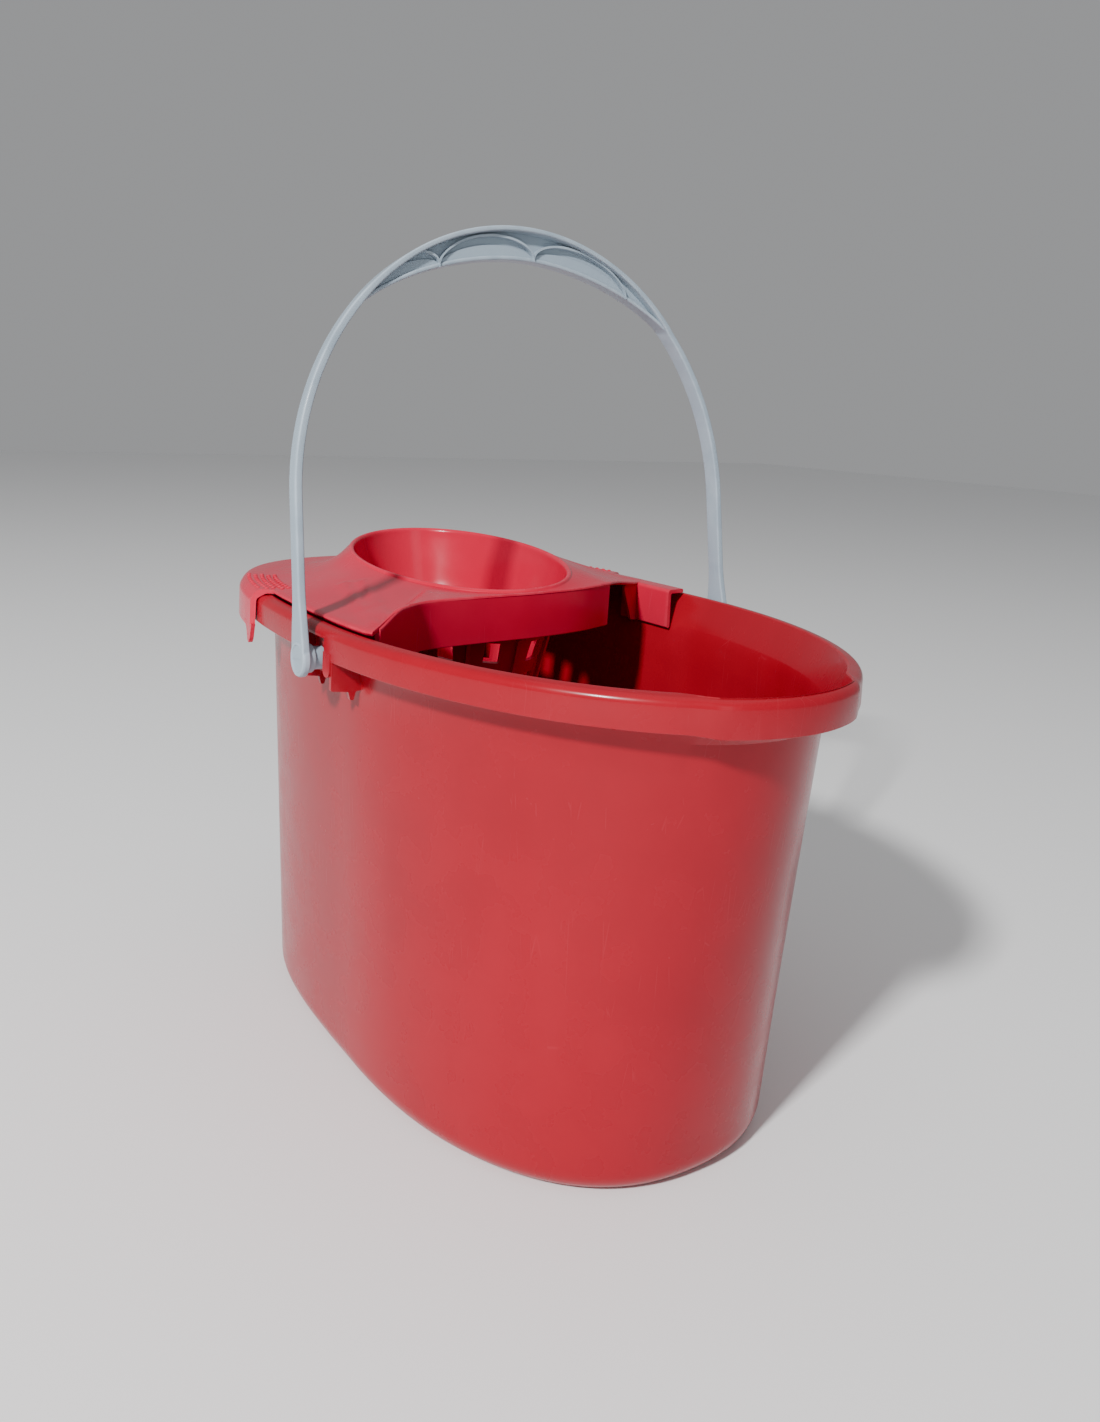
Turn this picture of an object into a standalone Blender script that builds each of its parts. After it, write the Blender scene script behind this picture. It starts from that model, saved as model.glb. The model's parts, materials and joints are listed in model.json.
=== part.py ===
"""Oval mop bucket: a red bucket, a red clip-in wringer and a grey bail handle.

Frame: metres, +Z up, +X towards the pour end, Z = 0 on the floor, and X = Y = 0 in the middle of the
whole object's footprint. "Near" is the -Y side and "far" the +Y side.
"""

import math

import bmesh
import bpy
from mathutils import Matrix, Vector

MM = 0.001

# ---- Driving dimensions ----

OVAL_X = 3.1 * MM             # where the oval's widest line stands on X
RIM_HEIGHT = 243.8 * MM       # floor to the crest of the rim
RIM_FRONT = 208.0 * MM        # widest line to the pour end, outside the rim
RIM_REAR = 211.7 * MM
RIM_HALF = 130.0 * MM
RIM_OVERHANG = 16.2 * MM      # rim's outer face to the wall under it
BAND_DEPTH = 18.1 * MM        # crest of the rim to the lower edge of its band
WALL = 2.4 * MM
FLOOR = 3.0 * MM
TAPER_FRONT = 31.9 * MM       # how far the wall comes in from top to bottom
TAPER_REAR = 17.2 * MM
TAPER_SIDE = 9.4 * MM
BASE_RADIUS = 13.0 * MM       # between the wall and the floor
LIP_FLARE = 6.0 * MM          # the pour lip's inner edge, beyond the plain rim
LIP_HALF = 46.0 * MM
LIP_FADE = 15.0 * MM

PIVOT_Z = 226.4 * MM
PIVOT_HOLE = 5.0 * MM         # radius
SOCKET_FACE = 125.0 * MM      # the socket plate's outer face, from the middle plane
SOCKET_PLATE = 2.5 * MM
POCKET_HALF = 10.5 * MM
GUSSET_X = 18.2 * MM
GUSSET_THICK = 2.5 * MM

HANDLE_HALF = 139.0 * MM      # middle plane to the strap's outer face
HANDLE_LEG = 80.5 * MM        # pivot to where the arch starts
HANDLE_RISE = 228.9 * MM      # pivot to the crown
HANDLE_LEAN = -8.15           # degrees at rest, top towards the rear
STRAP_WIDTH = 10.0 * MM
STRAP_THICK = 4.0 * MM
GRIP_HALF = 104.0 * MM        # half the grip's span across the bucket
GRIP_DEPTH = 16.0 * MM
GRIP_WIDTH = 15.0 * MM
GRIP_FLANGE = 2.6 * MM
GRIP_WEB = 2.4 * MM
EYE_RADIUS = 9.0 * MM
COLLAR_RADIUS = 7.2 * MM
NECK_RADIUS = 5.8 * MM
PEG_RADIUS = 4.5 * MM
PEG_HEAD = 5.6 * MM

MOUTH_X = OVAL_X - 89.6 * MM  # middle of the wringer's mouth
MOUTH_HALF_X = 86.6 * MM
MOUTH_HALF_Y = 56.4 * MM
MOUTH_RISE = 17.6 * MM        # above the rim, at the middle of the mouth
MOUTH_SLOPE_X = -0.076        # the mouth rises to the rear
MOUTH_SLOPE_Y = 0.06
LIP_WIDTH = 4.0 * MM
SHELL = 2.4 * MM
DECK_INSET = 8.0 * MM         # the deck's edge lies on the rim, this far in from the rim's outer face
DECK_GAP = 0.4 * MM
APRON_RISE = 10.0 * MM        # the apron's top edge above the rim
APRON_DROP = 16.0 * MM        # and its lower edge below it
BASKET_DEPTH = 88.0 * MM      # below the rim
HOOD_START_X = -90.0 * MM     # the hood covers the rim to the rear of this, from the oval's widest line

RING_POINTS = 72
MOUTH_POINTS = 60


# ---- Outlines ----

class Oval:
    """Two superellipse halves that share their widest line, the front one towards +X."""

    def __init__(self, front, rear, half, front_power, rear_power):
        self.front = front
        self.rear = rear
        self.half = half
        self.front_power = front_power
        self.rear_power = rear_power

    def inset(self, distance):
        return Oval(self.front - distance, self.rear - distance, self.half - distance,
                    self.front_power, self.rear_power)

    def radius(self, angle):
        ahead = math.cos(angle) > 0
        length = self.front if ahead else self.rear
        power = self.front_power if ahead else self.rear_power
        along = abs(math.cos(angle) / length) ** power
        across = abs(math.sin(angle) / self.half) ** power
        return (along + across) ** (-1 / power)

    def point(self, angle, height):
        reach = self.radius(angle)
        return Vector((OVAL_X + reach * math.cos(angle), reach * math.sin(angle), height))

    def angle_at(self, x, side):
        """The angle of the outline's point at x, measured from the widest line, on side -1 or +1."""
        length = self.front if x > 0 else self.rear
        power = self.front_power if x > 0 else self.rear_power
        y = self.half * (1 - abs(x / length) ** power) ** (1 / power)
        return math.atan2(side * y, x) % math.tau


RIM = Oval(RIM_FRONT, RIM_REAR, RIM_HALF, 1.97, 2.98)
WALL_TOP = RIM.inset(RIM_OVERHANG)
WALL_FOOT = Oval(WALL_TOP.front - TAPER_FRONT, WALL_TOP.rear - TAPER_REAR, WALL_TOP.half - TAPER_SIDE,
                 2.3, 3.31)


def smooth_step(value):
    value = min(max(value, 0.0), 1.0)
    return value * value * (3 - 2 * value)


def blend(low, high, share):
    return low + (high - low) * share


def turn_angles(count):
    return [math.tau * index / count for index in range(count)]


# ---- Objects ----

def clear_scene():
    for item in list(bpy.data.objects):
        bpy.data.objects.remove(item, do_unlink=True)


def plastic(name, color, roughness):
    material = bpy.data.materials.new(name)
    material.use_nodes = True
    shader = material.node_tree.nodes["Principled BSDF"]
    shader.inputs["Base Color"].default_value = (*color, 1.0)
    shader.inputs["Roughness"].default_value = roughness
    shader.inputs["Metallic"].default_value = 0.0
    return material


def make_object(name, points, faces, parent=None):
    mesh = bpy.data.meshes.new(name)
    mesh.from_pydata([tuple(point) for point in points], [], faces)
    shape = bmesh.new()
    shape.from_mesh(mesh)
    bmesh.ops.recalc_face_normals(shape, faces=shape.faces)
    shape.to_mesh(mesh)
    shape.free()
    item = bpy.data.objects.new(name, mesh)
    bpy.context.scene.collection.objects.link(item)
    item.parent = parent
    return item


def loft(name, rings, around=True, parent=None):
    """A closed solid through rings of equal length. The first and last ring are filled, and each ring
    is itself closed when around is set."""
    size = len(rings[0])
    points = [point for ring in rings for point in ring]
    faces = []
    for level in range(len(rings) - 1):
        for index in range(size if around else size - 1):
            after = (index + 1) % size
            low = level * size
            high = low + size
            faces.append((low + index, low + after, high + after, high + index))
    faces.append(tuple(reversed(range(size))))
    faces.append(tuple(range(len(points) - size, len(points))))
    return make_object(name, points, faces, parent)


def prism(name, outline, place, start, end, parent=None):
    """An outline of (u, v) points pulled from start to end. place(u, v, w) gives the world point."""
    rings = [[place(u, v, w) for u, v in outline] for w in (start, end)]
    return loft(name, rings, parent=parent)


def helper(item):
    item.hide_render = True
    item.display_type = "WIRE"
    return item


def combine(target, other, operation):
    modifier = target.modifiers.new(other.name, "BOOLEAN")
    modifier.operation = operation
    modifier.solver = "EXACT"
    modifier.object = helper(other)


def finish(item, material):
    item.data.materials.append(material)
    item.data.shade_smooth()
    item.data.set_sharp_from_angle(angle=math.radians(32))


# ---- Bucket ----

# The rim's section: outwards from the wall's line, up from the crest, and how much of the pour lip's
# flare the point takes. It runs up the outer wall, under the rim, round the band and the roll, and
# down the inner wall.
RIM_SECTION = [
    (0.0, -24.0, 0.1), (3.0, -10.0, 0.7), (5.0, -4.6, 1.0), (13.2, -4.6, 0.2), (14.8, -6.8, 0.2),
    (15.0, -BAND_DEPTH / MM, 0.2), (16.2, -BAND_DEPTH / MM, 0.2), (16.2, -6.6, 0.2), (15.2, -3.2, 0.2),
    (12.8, -1.3, 0.2), (9.0, -0.4, 0.5), (5.0, 0.0, 0.8), (2.6, -0.4, 1.0), (1.5, -1.6, 1.0),
    (0.5, -10.0, 0.7), (-2.4, -24.0, 0.1),
]


def lip_share(angle, reach):
    """1 across the pour lip at the front end, fading to 0 on both sides of it."""
    if math.cos(angle) < 0:
        return 0.0
    across = abs(reach * math.sin(angle))
    return 1 - smooth_step((across - LIP_HALF) / LIP_FADE)


def rim_ring(outward, up, flare):
    outline = WALL_TOP.inset(-outward)
    ring = []
    for angle in turn_angles(RING_POINTS):
        reach = outline.radius(angle)
        reach += LIP_FLARE * flare * lip_share(angle, reach)
        ring.append(Vector((OVAL_X + reach * math.cos(angle), reach * math.sin(angle), RIM_HEIGHT + up)))
    return ring


def wall_ring(inset, height):
    """A ring of the straight wall, between its foot and its top."""
    wall_end = RIM_HEIGHT + RIM_SECTION[0][1] * MM
    share = (height - BASE_RADIUS) / (wall_end - BASE_RADIUS)
    foot = WALL_FOOT.inset(inset)
    top = WALL_TOP.inset(inset)
    ring = []
    for angle in turn_angles(RING_POINTS):
        reach = blend(foot.radius(angle), top.radius(angle), share)
        ring.append(Vector((OVAL_X + reach * math.cos(angle), reach * math.sin(angle), height)))
    return ring


def base_ring(inset, radius, floor, share):
    """A ring of the rounded edge between floor and wall, from the floor (0) to the wall (1)."""
    turn = share * math.pi / 2
    outline = WALL_FOOT.inset(inset + radius * (1 - math.sin(turn)))
    height = floor + radius * (1 - math.cos(turn))
    return [outline.point(angle, height) for angle in turn_angles(RING_POINTS)]


def bucket_shell():
    middle = RIM_HEIGHT / 2
    inner_radius = BASE_RADIUS - FLOOR
    rings = [base_ring(0, BASE_RADIUS, 0, share / 4) for share in range(5)]
    rings.append(wall_ring(0, middle))
    rings += [rim_ring(outward * MM, up * MM, flare) for outward, up, flare in RIM_SECTION]
    rings.append(wall_ring(WALL, middle))
    rings += [base_ring(WALL, inner_radius, FLOOR, share / 3) for share in (3, 2, 1, 0)]
    return loft("bucket", rings)


def socket_plate(side):
    """The pocket's floor, which holds the pivot hole. Its lower corners are round."""
    half = POCKET_HALF + 1.6 * MM
    corner = 4.0 * MM
    bottom = PIVOT_Z - 7.2 * MM
    outline = [(half, RIM_HEIGHT - 4.2 * MM), (-half, RIM_HEIGHT - 4.2 * MM)]
    for end in (-1, 1):
        for index in range(5):
            turn = math.pi * (1.5 + end * 0.25 + (index - 2) / 8)
            outline.append((end * (half - corner) + corner * math.cos(turn),
                            bottom + corner + corner * math.sin(turn)))
    return prism(f"socket_plate_{side}", outline, lambda u, v, w: Vector((OVAL_X + u, side * w, v)),
                 SOCKET_FACE + 0.3 * MM, SOCKET_FACE - SOCKET_PLATE)


def socket_cheek(side, end):
    """A wall of the pocket, from the bucket's wall to the band."""
    outline = [(112.8, -4.2), (129.2, -4.2), (129.2, -20.0), (126.0, -22.0), (112.8, -24.0)]
    outline = [(u * MM, RIM_HEIGHT + v * MM) for u, v in outline]
    return prism(f"socket_cheek_{side}_{end}", outline,
                 lambda u, v, w: Vector((OVAL_X + end * w, side * u, v)),
                 POCKET_HALF - 0.2 * MM, POCKET_HALF + 1.9 * MM)


def socket_ear(side, end):
    """A round tab of the band that hangs beside the pocket."""
    outline = [(POCKET_HALF - 0.2 * MM, -12.0 * MM), (19.0 * MM, -12.0 * MM)]
    for index in range(9):
        turn = math.pi * index / 8
        outline.append((14.65 * MM + 4.35 * MM * math.cos(turn), (-20.4 - 4.0 * math.sin(turn)) * MM))
    return prism(f"socket_ear_{side}_{end}", outline,
                 lambda u, v, w: Vector((OVAL_X + end * u, side * w, RIM_HEIGHT + v)),
                 127.6 * MM, 129.3 * MM)


def gusset(side, end):
    """A rib beside the pocket that hangs below the band, with a small point near the wall."""
    outline = [(112.6, -4.2), (129.0, -4.2), (129.0, -30.2), (119.6, -31.6), (118.2, -35.6),
               (116.4, -35.6), (115.6, -31.6), (112.6, -31.0)]
    outline = [(u * MM, RIM_HEIGHT + v * MM) for u, v in outline]
    return prism(f"gusset_{side}_{end}", outline,
                 lambda u, v, w: Vector((OVAL_X + end * w, side * u, v)),
                 GUSSET_X - GUSSET_THICK / 2, GUSSET_X + GUSSET_THICK / 2)


def pocket_cutter(side):
    """The gap in the band that the handle's boss stands in."""
    outline = [(-POCKET_HALF, -60 * MM), (POCKET_HALF, -60 * MM), (POCKET_HALF, -6.0 * MM),
               (-POCKET_HALF, -6.0 * MM)]
    return prism(f"pocket_cutter_{side}", outline,
                 lambda u, v, w: Vector((OVAL_X + u, side * w, RIM_HEIGHT + v)),
                 SOCKET_FACE, SOCKET_FACE + 20 * MM)


def rod(name, radius_steps, place, sides, parent=None):
    """A turned solid: (position, radius) steps along an axis. place(u, v, w) has w along the axis."""
    rings = [[place(radius * math.cos(turn), radius * math.sin(turn), position)
              for turn in turn_angles(sides)] for position, radius in radius_steps]
    return loft(name, rings, parent=parent)


def make_bucket(material):
    bucket = bucket_shell()
    for side in (-1, 1):
        combine(bucket, socket_plate(side), "UNION")
        for end in (-1, 1):
            combine(bucket, socket_cheek(side, end), "UNION")
            combine(bucket, socket_ear(side, end), "UNION")
            combine(bucket, gusset(side, end), "UNION")
        combine(bucket, pocket_cutter(side), "DIFFERENCE")
        hole = rod(f"hole_cutter_{side}", [(SOCKET_FACE - 4 * MM, PIVOT_HOLE), (SOCKET_FACE + 9 * MM, PIVOT_HOLE)],
                   lambda u, v, w: Vector((OVAL_X + u, side * w, PIVOT_Z + v)), 24)
        combine(bucket, hole, "DIFFERENCE")
    finish(bucket, material)
    return bucket


# ---- Handle, upright about its own pivot ----

def arch_point(turn, depth):
    """A point of the arch, depth inwards from its outer face. turn runs from 0 at +Y to pi at -Y."""
    along = HANDLE_RISE - HANDLE_LEG - depth
    across = HANDLE_HALF - depth
    return Vector((0, across * math.cos(turn), HANDLE_LEG + along * math.sin(turn)))


def grip_share(y):
    """1 at the crown of the grip, 0 where it runs out into the straps."""
    return max(0.0, 1 - (abs(y) / GRIP_HALF) ** 2.6)


def strap_stations(arch_steps):
    """Stations from one eye to the other: outer point, inner point and half the width."""
    stations = []
    for side, heights in ((1, (0, 12, 24, 36, 58)), (-1, (58, 36, 24, 12, 0))):
        leg = []
        for height in heights:
            widen = 1 - smooth_step(height / 36)
            half = STRAP_WIDTH / 2 + widen * (EYE_RADIUS - STRAP_WIDTH / 2 - 0.6 * MM)
            outer = Vector((0, side * HANDLE_HALF, height * MM))
            inner = Vector((0, side * (HANDLE_HALF - STRAP_THICK), height * MM))
            leg.append((outer, inner, half))
        if side == 1:
            stations += leg
            for index in range(arch_steps + 1):
                turn = math.pi * index / arch_steps
                outer = arch_point(turn, 0)
                share = math.sqrt(grip_share(outer.y))
                half = blend(STRAP_WIDTH, GRIP_WIDTH, share) / 2
                stations.append((outer, arch_point(turn, STRAP_THICK), half))
        else:
            stations += leg
    return stations


def strap():
    rings = []
    for outer, inner, half in strap_stations(44):
        across = Vector((half, 0, 0))
        rings.append([outer - across, outer + across, inner + across, inner - across])
    return loft("handle", rings)


def grip_inner(y):
    """The height of the grip's lower face."""
    outer = HANDLE_LEG + (HANDLE_RISE - HANDLE_LEG) * math.sqrt(1 - (y / HANDLE_HALF) ** 2)
    return outer - STRAP_THICK - (GRIP_DEPTH - STRAP_THICK) * grip_share(y)


def grip_top(y):
    """A line inside the strap, where the grip's web starts."""
    outer = HANDLE_LEG + (HANDLE_RISE - HANDLE_LEG) * math.sqrt(1 - (y / HANDLE_HALF) ** 2)
    return outer - STRAP_THICK / 2


def grip_web():
    steps = 22
    places = [blend(-GRIP_HALF, GRIP_HALF, index / steps) for index in range(steps + 1)]
    outline = [(y, grip_top(y)) for y in places]
    outline += [(y, grip_inner(y) + 0.5 * MM) for y in reversed(places)]
    return prism("grip_web", outline, lambda u, v, w: Vector((w, u, v)), -GRIP_WEB / 2, GRIP_WEB / 2)


def grip_flange():
    steps = 22
    reach = GRIP_HALF * 0.985
    rings = []
    for index in range(steps + 1):
        y = blend(-reach, reach, index / steps)
        half = blend(STRAP_WIDTH, GRIP_WIDTH, math.sqrt(grip_share(y))) / 2
        low = grip_inner(y)
        high = low + GRIP_FLANGE
        rings.append([Vector((half, y, low)), Vector((half, y, high)), Vector((-half, y, high)),
                      Vector((-half, y, low))])
    return loft("grip_flange", rings)


def grip_rib(middle, half_span, rise):
    """An arched rib that stands on the grip's lower flange."""
    half = GRIP_WIDTH / 2 - 2.2 * MM
    rings = []
    for index in range(9):
        turn = math.pi * index / 8
        y = middle + half_span * math.cos(turn)
        foot = grip_inner(y) + GRIP_FLANGE / 2
        top = min(foot + rise * math.sin(turn) + 0.8 * MM, grip_top(y))
        rings.append([Vector((half, y, top)), Vector((-half, y, top)), Vector((-half, y, top - 1.4 * MM)),
                      Vector((half, y, top - 1.4 * MM))])
    return loft(f"grip_rib_{round(middle / MM)}", rings)


def handle_foot(side):
    """The eye on the strap's end, its boss, and the snap peg that turns in the socket."""
    steps = [(HANDLE_HALF, EYE_RADIUS), (HANDLE_HALF - STRAP_THICK, EYE_RADIUS),
             (HANDLE_HALF - STRAP_THICK, COLLAR_RADIUS), (HANDLE_HALF - 7.5 * MM, COLLAR_RADIUS),
             (HANDLE_HALF - 7.5 * MM, NECK_RADIUS), (SOCKET_FACE + 0.6 * MM, NECK_RADIUS),
             (SOCKET_FACE + 0.6 * MM, PEG_RADIUS), (SOCKET_FACE - SOCKET_PLATE - 0.5 * MM, PEG_RADIUS),
             (SOCKET_FACE - SOCKET_PLATE - 0.5 * MM, PEG_HEAD),
             (SOCKET_FACE - SOCKET_PLATE - 2.6 * MM, PEG_RADIUS - 0.6 * MM)]
    return rod(f"handle_foot_{side}", steps, lambda u, v, w: Vector((u, side * w, v)), 28)


def make_handle(material):
    handle = strap()
    pieces = [grip_web(), grip_flange(), handle_foot(-1), handle_foot(1)]
    for middle, half_span in ((-82, 28), (-24, 30), (38, 32)):
        pieces.append(grip_rib(middle * MM, half_span * MM, 10.5 * MM))
    for piece in pieces:
        combine(handle, piece, "UNION")
        piece.parent = handle
    handle.location = (OVAL_X, 0, PIVOT_Z)
    handle.rotation_euler = (0, math.radians(HANDLE_LEAN), 0)
    finish(handle, material)
    return handle


# ---- Wringer ----

# The deck's front edge in plan, from the oval's widest line: over the near rim, along the straight
# apron, and out to the far rim.
APRON_PATH = [(47.0, -126.0), (35.0, -109.0), (21.0, -91.0), (10.0, -72.0), (5.5, -36.0), (2.5, 0.0),
              (-4.0, 34.0), (-15.0, 62.0)]
DECK_PATH = APRON_PATH + [(-34.0, 88.0), (-58.0, 126.0)]


def mouth_height(x, y):
    return RIM_HEIGHT + MOUTH_RISE + MOUTH_SLOPE_X * (x - MOUTH_X) + MOUTH_SLOPE_Y * y


def ellipse_reach(angle, half_x, half_y):
    return 1 / math.hypot(math.cos(angle) / half_x, math.sin(angle) / half_y)


def reach_to_path(angle, path):
    """How far a ray from the middle of the mouth runs before it meets a path, or None."""
    direction = Vector((math.cos(angle), math.sin(angle)))
    found = None
    for (x0, y0), (x1, y1) in zip(path, path[1:]):
        start = Vector((OVAL_X + x0 * MM - MOUTH_X, y0 * MM))
        along = Vector(((x1 - x0) * MM, (y1 - y0) * MM))
        cross = direction.x * along.y - direction.y * along.x
        if abs(cross) < 1e-12:
            continue
        reach = (start.x * along.y - start.y * along.x) / cross
        share = (start.x * direction.y - start.y * direction.x) / cross
        if reach > 0 and 0 <= share <= 1:
            found = reach if found is None else min(found, reach)
    return found


def reach_to_oval(angle, outline):
    """How far a ray from the middle of the mouth runs before it leaves an oval."""
    low = 0.0
    high = 0.5
    for _ in range(40):
        middle = (low + high) / 2
        x = MOUTH_X - OVAL_X + middle * math.cos(angle)
        y = middle * math.sin(angle)
        if math.hypot(x, y) < outline.radius(math.atan2(y, x)):
            low = middle
        else:
            high = middle
    return low


def deck_edge(angle):
    """The reach and the height of the deck's edge, seen from the middle of the mouth."""
    on_rim = reach_to_oval(angle, RIM.inset(DECK_INSET))
    on_front = reach_to_path(angle, DECK_PATH)
    reach = on_rim if on_front is None else min(on_rim, on_front)
    flat = RIM_HEIGHT + DECK_GAP + SHELL
    if on_front is None or on_front > on_rim:
        return reach, flat
    y = reach * math.sin(angle) / MM
    rise = smooth_step((y + 120) / 28) * (1 - smooth_step((y - 58) / 62))
    return reach, blend(flat, RIM_HEIGHT + APRON_RISE, rise)


def deck_steepness(angle):
    """How quickly the deck falls away from the mouth: gently at the front and sides, steeply behind."""
    return blend(1.25, 2.7, smooth_step(-math.cos(angle) * 1.15))


def deck_profile(angle, steps):
    """The deck's upper line from the mouth's lip to its edge, as (reach, height)."""
    end, low = deck_edge(angle)
    lip = ellipse_reach(angle, MOUTH_HALF_X + LIP_WIDTH, MOUTH_HALF_Y + LIP_WIDTH)
    lip = min(lip, end - 1.5 * MM)
    top = mouth_height(MOUTH_X + lip * math.cos(angle), lip * math.sin(angle)) - 1.0 * MM
    line = []
    for index in range(steps + 1):
        share = index / steps
        fall = (1 - share) ** deck_steepness(angle)
        line.append((blend(lip, end, share), blend(low, top, fall)))
    return line


def offset_below(line, distance):
    """The same line moved to its lower, inner side by a distance."""
    moved = []
    for index, (reach, height) in enumerate(line):
        before = line[max(index - 1, 0)]
        after = line[min(index + 1, len(line) - 1)]
        run = Vector((after[0] - before[0], after[1] - before[1])).normalized()
        moved.append((reach + run.y * distance, height - run.x * distance))
    moved[-1] = (line[-1][0], line[-1][1] - distance)
    return moved


# The basket's wall under the mouth: half length, half width, and depth below the rim.
BASKET_STEPS = [(78.0, 51.5, 8.0), (68.0, 45.0, 34.0), (59.0, 38.5, 70.0), (52.0, 33.0, 85.0)]


def basket_line(angle, wall):
    """The basket's wall from top to bottom, as (reach, height), thicker outwards by wall."""
    line = []
    for half_x, half_y, depth in BASKET_STEPS:
        reach = ellipse_reach(angle, half_x * MM + wall, half_y * MM + wall)
        line.append((reach, RIM_HEIGHT - depth * MM))
    return line


def wringer_line(angle):
    """Half the wringer's section in one direction: up the inside, over the lip, out along the deck, back
    under it and down the outside of the basket."""
    inside = list(reversed(basket_line(angle, 0)))
    mouth = ellipse_reach(angle, MOUTH_HALF_X, MOUTH_HALF_Y)
    top = mouth_height(MOUTH_X + mouth * math.cos(angle), mouth * math.sin(angle))
    lip = [(mouth - 1.4 * MM, top - 6.0 * MM), (mouth, top - 0.8 * MM), (mouth + 1.5 * MM, top + 0.4 * MM)]
    upper = deck_profile(angle, 6)
    lower = list(reversed(offset_below(upper, SHELL)))
    throat = [(mouth + 0.8 * MM, top - 8.0 * MM)]
    outside = basket_line(angle, SHELL)
    outside[-1] = (outside[-1][0], RIM_HEIGHT - BASKET_DEPTH)
    return inside + lip + upper + lower + throat + outside


def wringer_shell():
    angles = turn_angles(MOUTH_POINTS)
    lines = [wringer_line(angle) for angle in angles]
    rings = []
    for level in range(len(lines[0])):
        ring = []
        for angle, line in zip(angles, lines):
            reach, height = line[level]
            ring.append(Vector((MOUTH_X + reach * math.cos(angle), reach * math.sin(angle), height)))
        rings.append(ring)
    return loft("wringer", rings)


def apron_panel():
    """The straight wall across the bucket, hanging from the deck's front edge."""
    path = APRON_PATH[1:]
    rings = []
    for index, (x, y) in enumerate(path):
        before = Vector(path[max(index - 1, 0)])
        after = Vector(path[min(index + 1, len(path) - 1)])
        run = (after - before).normalized()
        outer = Vector((x, y)) + Vector((run.y, -run.x)) * 0.3
        inner = outer - Vector((run.y, -run.x)) * SHELL / MM
        rise = smooth_step((y + 120) / 28)
        top = RIM_HEIGHT + blend(SHELL, APRON_RISE - 0.2 * MM, rise)
        bottom = RIM_HEIGHT - APRON_DROP
        rings.append([Vector((OVAL_X + outer.x * MM, outer.y * MM, bottom)),
                      Vector((OVAL_X + outer.x * MM, outer.y * MM, top)),
                      Vector((OVAL_X + inner.x * MM, inner.y * MM, top)),
                      Vector((OVAL_X + inner.x * MM, inner.y * MM, bottom))])
    return loft("apron", rings)


def sweep_on_rim(name, section, start, end, steps):
    """A section of (outwards from the rim's outer face, up from the crest) swept round the rim."""
    rings = []
    for index in range(steps + 1):
        angle = blend(start, end, index / steps)
        rings.append([RIM.inset(-outward * MM).point(angle, RIM_HEIGHT + up * MM)
                      for outward, up in section])
    return loft(name, rings)


HOOD_SECTION = [(-9.5, 0.4), (-4.0, 0.4), (-0.4, -1.6), (1.0, -6.0), (1.2, -20.0), (3.7, -20.0),
                (3.7, -5.0), (2.2, -0.4), (-1.6, 2.0), (-6.0, 2.8), (-9.5, 2.8)]


def hood():
    start = RIM.angle_at(HOOD_START_X, 1)
    end = RIM.angle_at(HOOD_START_X, -1)
    return sweep_on_rim("hood", HOOD_SECTION, start, end, 36)


def hood_tooth(side):
    """The pointed tooth under each end of the hood."""
    outline = [(-1.0, -18.0), (10.0, -18.0), (6.6, -26.6), (4.6, -28.4), (2.8, -26.6)]
    angle = RIM.angle_at(HOOD_START_X, side)
    base = RIM.point(angle, RIM_HEIGHT)
    ahead = RIM.point(angle + side * 0.02, RIM_HEIGHT)
    along = (ahead - base).normalized()
    outwards = Vector((along.y * side, -along.x * side, 0))
    return prism(f"hood_tooth_{side}", outline,
                 lambda u, v, w: base + along * u * MM + outwards * w + Vector((0, 0, v * MM)),
                 1.4 * MM, 3.6 * MM)


CLIP_SECTION = [(-8.0, 0.4), (-8.0, 2.8), (-21.2, 2.8), (-21.2, -21.0), (-18.9, -21.0), (-18.9, 0.4)]


def far_clip():
    """The bracket that reaches down inside the far rim."""
    start = RIM.angle_at(-18 * MM, 1)
    end = RIM.angle_at(-72 * MM, 1)
    return sweep_on_rim("far_clip", CLIP_SECTION, start, end, 6)


def clip_gusset():
    outline = [(110.6, 1.0), (98.0, 1.0), (98.0, -3.0), (104.0, -21.0), (110.6, -21.0)]
    outline = [(u * MM, RIM_HEIGHT + v * MM) for u, v in outline]
    return prism("clip_gusset", outline, lambda u, v, w: Vector((OVAL_X + w, u, v)), -48.4 * MM, -46.0 * MM)


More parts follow.
